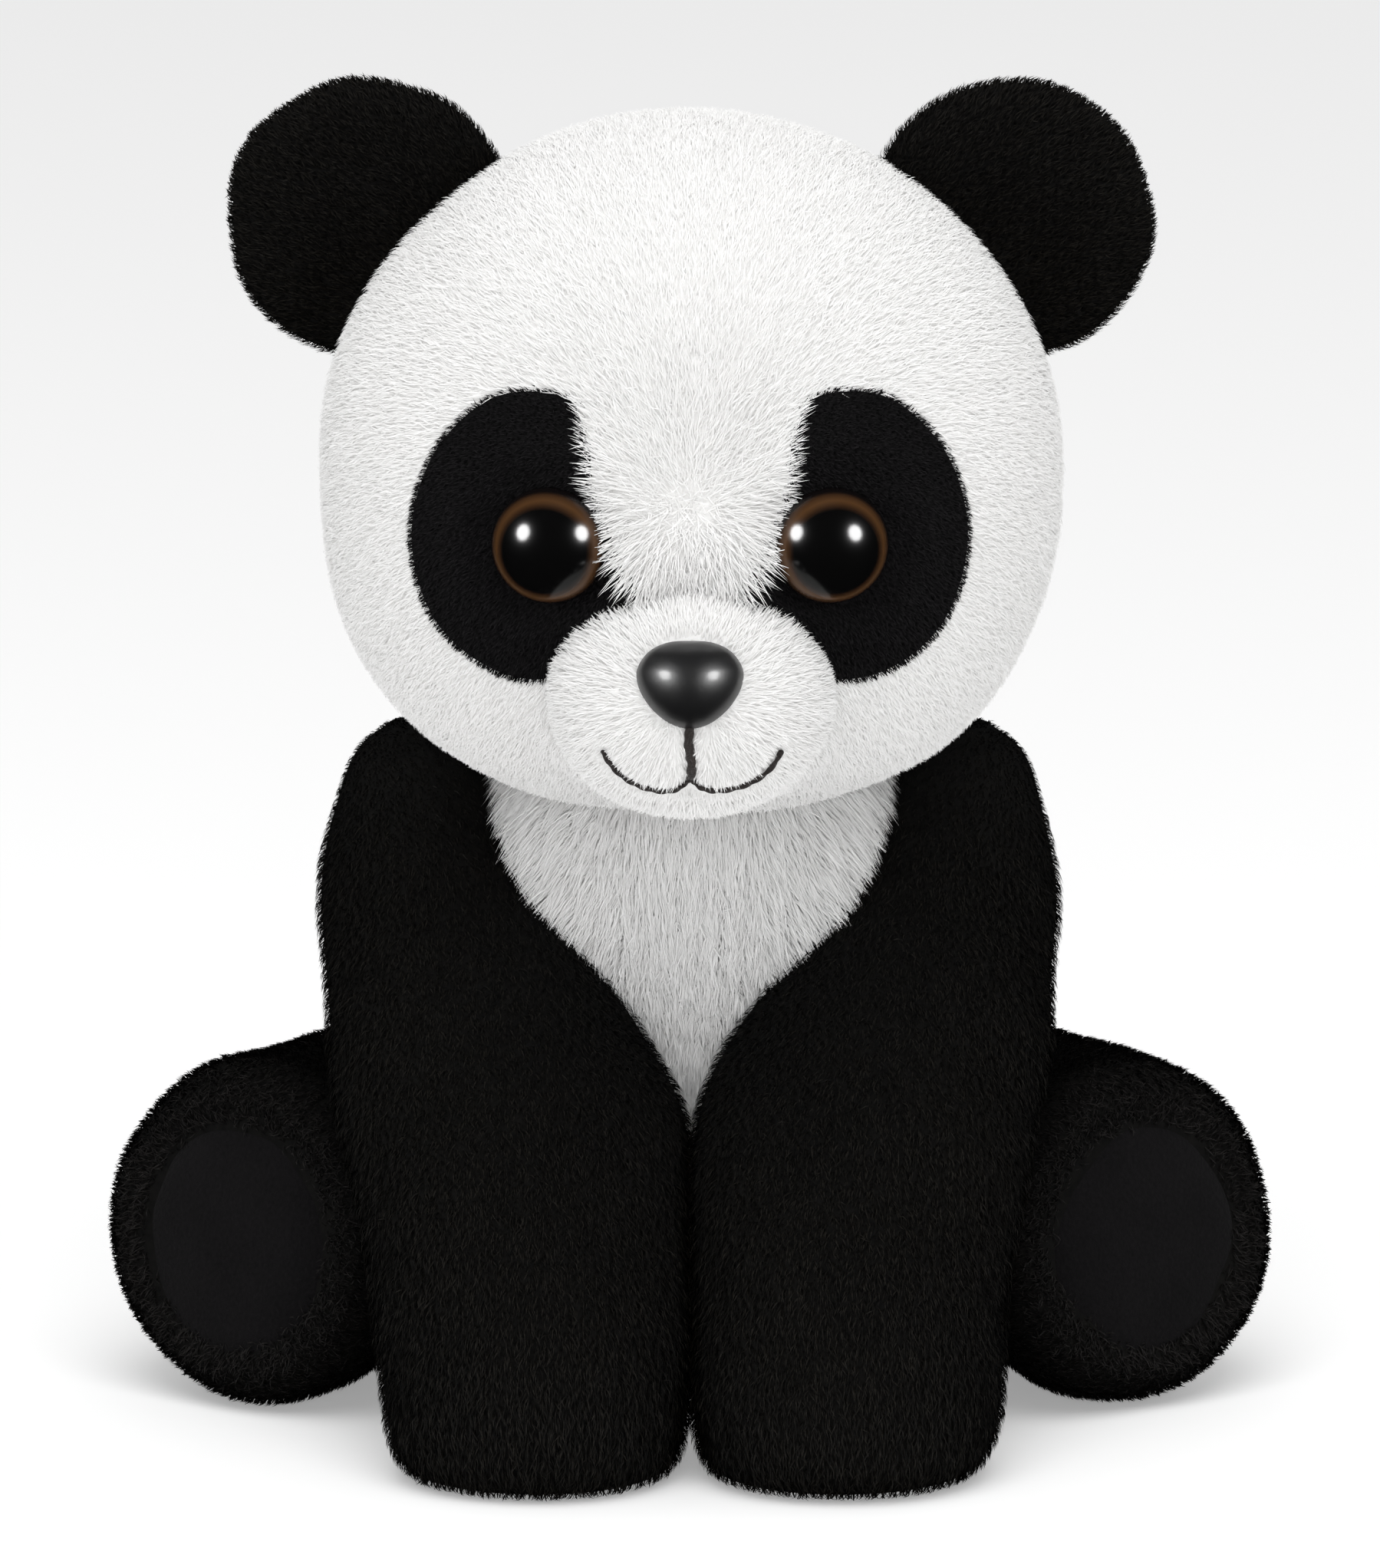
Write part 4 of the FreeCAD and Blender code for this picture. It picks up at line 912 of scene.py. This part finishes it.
def leg_axes(side):
    """The leg's direction from hip to sole, and its two cross directions."""
    level = math.cos(LEG_RISE)
    ahead = np.array([side * math.sin(LEG_SPLAY) * level, -math.cos(LEG_SPLAY) * level, math.sin(LEG_RISE)])
    across = unit(np.cross(ahead, [0.0, 0.0, 1.0]))
    return ahead, across, np.cross(across, ahead)


def make_legs():
    """Black legs that end in flat soles."""
    reach, half_width, half_height, lift = through(LEG, 110).T
    for side, mark in ((1, "left"), (-1, "right")):
        ahead, across, up = leg_axes(side)
        hip = HIP * [side, 1, 1]
        centres = hip + reach[:, None] * ahead + lift[:, None] * up
        rings = ellipse_rings(centres, half_width, half_height, across, up)
        skin = Skin(rings, relief=lambda p: 0.45 * lumps(p, 18.0, 71 + side))
        skin.points[:, 2] = np.maximum(skin.points[:, 2], LEG_FLOOR)
        piece = skin.piece(f"leg_plush_{mark}", BLACK_CLOTH)
        finish_soft(piece, f"leg_{mark}", "black_plush", 0.8, f"leg_upper_{mark}", f"leg_lower_{mark}",
                    f"leg_stuffing_{mark}")
        end = centres[-1]
        rng = np.random.default_rng(73 + side)

        def shown(p):
            from_end = p - end
            off_axis = np.linalg.norm(from_end - (from_end @ ahead)[:, None] * ahead, axis=1)
            return (p[:, 2] > 0.6) & ~((from_end @ ahead > -1.5) & (off_axis < SOLE_RADIUS - BARE_EDGE))

        places, normals = skin.scatter(8.0, rng, shown)
        from_axis = places - hip - ((places - hip) @ ahead)[:, None] * ahead
        flow = ahead + 0.25 * unit(from_axis)
        fur = pile(f"leg_pile_{mark}", places, normals, flow, rng, LEG_PILE, 1.6, 0.16, lift=34,
                   clump=0.4)
        finish_pile(fur, f"leg_{mark}")
        make_sole(side, mark, end, ahead, across, up)


def make_sole(side, mark, end, ahead, across, up):
    """A smooth velour sole, slightly domed, with a sewn edge."""
    share = np.linspace(1.0, 0.03, 30)
    dome = 1.1 * (1 - share**2) - 0.9 * share**8
    turn = np.linspace(0, 2 * math.pi, 120, endpoint=False)
    centre = end - SOLE_DROP * up
    flat = (np.cos(turn)[:, None] * across * SOLE_NARROW + np.sin(turn)[:, None] * up) * SOLE_RADIUS
    rings = centre + share[:, None, None] * flat + (dome + 0.3)[:, None, None] * ahead
    skirt = centre + flat[None] - 1.2 * ahead
    skin = Skin(np.concatenate([skirt, rings]), low_pole=False,
                relief=lambda p: 0.15 * lumps(p, 8.0, 81 + side))
    skin.face_towards(ahead)
    piece = skin.piece(f"sole_{mark}", SOLE_CLOTH)
    finish_soft(piece, f"leg_{mark}", "sole_velour", 0.6, f"foot_sole_{mark}")


TAIL_RADIUS, TAIL_HALF_LENGTH = 7.2, 8.2


def make_tail():
    """A short round white tail."""
    centre = np.array([0.0, tail_high[1] - 7.6, (tail_low[2] + tail_high[2]) / 2])
    bend = np.radians(np.linspace(-87, 87, 50))[:, None]
    turn = np.linspace(0, 2 * math.pi, 80, endpoint=False)
    flat = TAIL_RADIUS * np.cos(bend)
    y = centre[1] - 0.8 + np.broadcast_to(TAIL_HALF_LENGTH * np.sin(bend), (len(bend), len(turn)))
    rings = np.stack([centre[0] + flat * np.cos(turn), y, centre[2] + flat * np.sin(turn)], -1)
    skin = Skin(rings, relief=lambda p: 0.3 * lumps(p, 6.0, 91))
    piece = skin.piece("tail_plush", WHITE_CLOTH)
    finish_soft(piece, "tail", "white_plush", 0.7, "tail_skin", "tail_stuffing")
    rng = np.random.default_rng(93)
    places, normals = skin.scatter(7.0, rng)
    flow = unit(places - centre + [0, 6, 0]) - [0, 0, 0.5]
    fur = pile("tail_pile", places, normals, flow, rng, WHITE_PILE, 2.8, 0.18, lift=34, clump=0.5)
    finish_pile(fur, "tail")


# ---------------------------------------------------------------- hidden pieces and small trim

def finish_hidden():
    """Gives the pieces inside the toy, and the stitches on its back, their own materials."""
    plastic = moulded_material("pellet_and_washer_plastic", (0.75, 0.75, 0.73), 0.4, 400.0)
    pouch = cloth_material("pouch_weave", (0.55, 0.54, 0.5), (0.75, 0.74, 0.7), 3000.0)
    wadding = cloth_material("wadding", (0.75, 0.75, 0.75), (0.92, 0.92, 0.92), 500.0)
    looks = {"pellets": plastic, "nose_washer": plastic, "eye_washer_left": plastic,
             "eye_washer_right": plastic, "bean_pouch": pouch, "neck_plug": wadding,
             "closing_stitches": WHITE_THREAD}
    for name, material in looks.items():
        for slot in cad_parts[name].material_slots:
            slot.material = material


# ---------------------------------------------------------------- studio

def area_light(name, azimuth, elevation, distance, size, energy, gloss=False):
    """A round light that faces the toy from azimuth and elevation, in degrees, 0 being the front.

    distance and size are in metres. A gloss light only shows as a highlight, and any other only
    lights what is matt.
    """
    a, e = math.radians(azimuth), math.radians(elevation)
    offset = np.array([math.sin(a) * math.cos(e), -math.cos(a) * math.cos(e), math.sin(e)]) * distance
    light = bpy.data.lights.new(name, "AREA")
    light.shape = "DISK"
    light.size = size
    light.energy = energy
    lamp = bpy.data.objects.new(name, light)
    lamp.location = np.array(LOOK_AT) + offset
    lamp.rotation_euler = (math.pi / 2 - e, 0.0, a)
    lamp.visible_diffuse = not gloss
    lamp.visible_glossy = gloss
    bpy.context.scene.collection.objects.link(lamp)


def make_studio():
    """Pale floor, white surroundings, soft lights and the camera."""
    bpy.ops.mesh.primitive_plane_add(size=12.0)
    floor = bpy.context.object
    floor.name = "floor"
    floor.visible_glossy = False
    floor.data.materials.append(principled(
        "pale_floor", 0.9, Specular_IOR_Level=0.0, Base_Color=(0.86, 0.86, 0.86, 1.0),
        Emission_Color=(1.0, 1.0, 1.0, 1.0), Emission_Strength=0.3))

    world = bpy.data.worlds.new("studio")
    bpy.context.scene.world = world
    world.use_nodes = True
    background = world.node_tree.nodes["Background"]
    background.inputs["Color"].default_value = (1.0, 1.0, 1.0, 1.0)
    background.inputs["Strength"].default_value = 0.5
    world.cycles_visibility.glossy = False

    area_light("key_above", 0, 62, 1.0, 0.9, 6.2)
    area_light("fill_front", 0, 4, 1.3, 0.9, 3.6)
    area_light("softbox_left", -58, 21, 0.62, 0.26, 6.4, gloss=True)
    area_light("softbox_right", 54, 21, 0.62, 0.26, 6.4, gloss=True)

    camera = bpy.data.objects.new("camera", bpy.data.cameras.new("camera"))
    camera.data.sensor_fit = "HORIZONTAL"
    camera.data.sensor_width = 36.0
    camera.data.lens = CAMERA_LENS
    e = math.radians(CAMERA_ELEVATION)
    camera.location = np.array(LOOK_AT) + np.array([0, -math.cos(e), math.sin(e)]) * CAMERA_DISTANCE
    camera.rotation_euler = (math.pi / 2 - e, 0.0, 0.0)
    camera.data.clip_end = 50.0
    bpy.context.scene.collection.objects.link(camera)
    bpy.context.scene.camera = camera
    bpy.context.scene.view_settings.view_transform = "Standard"


make_studio()
make_head()
make_patches()
make_muzzle()
make_eyes()
make_nose()
make_mouth()
make_ears()
make_torso()
make_arms()
make_legs()
make_tail()
finish_hidden()
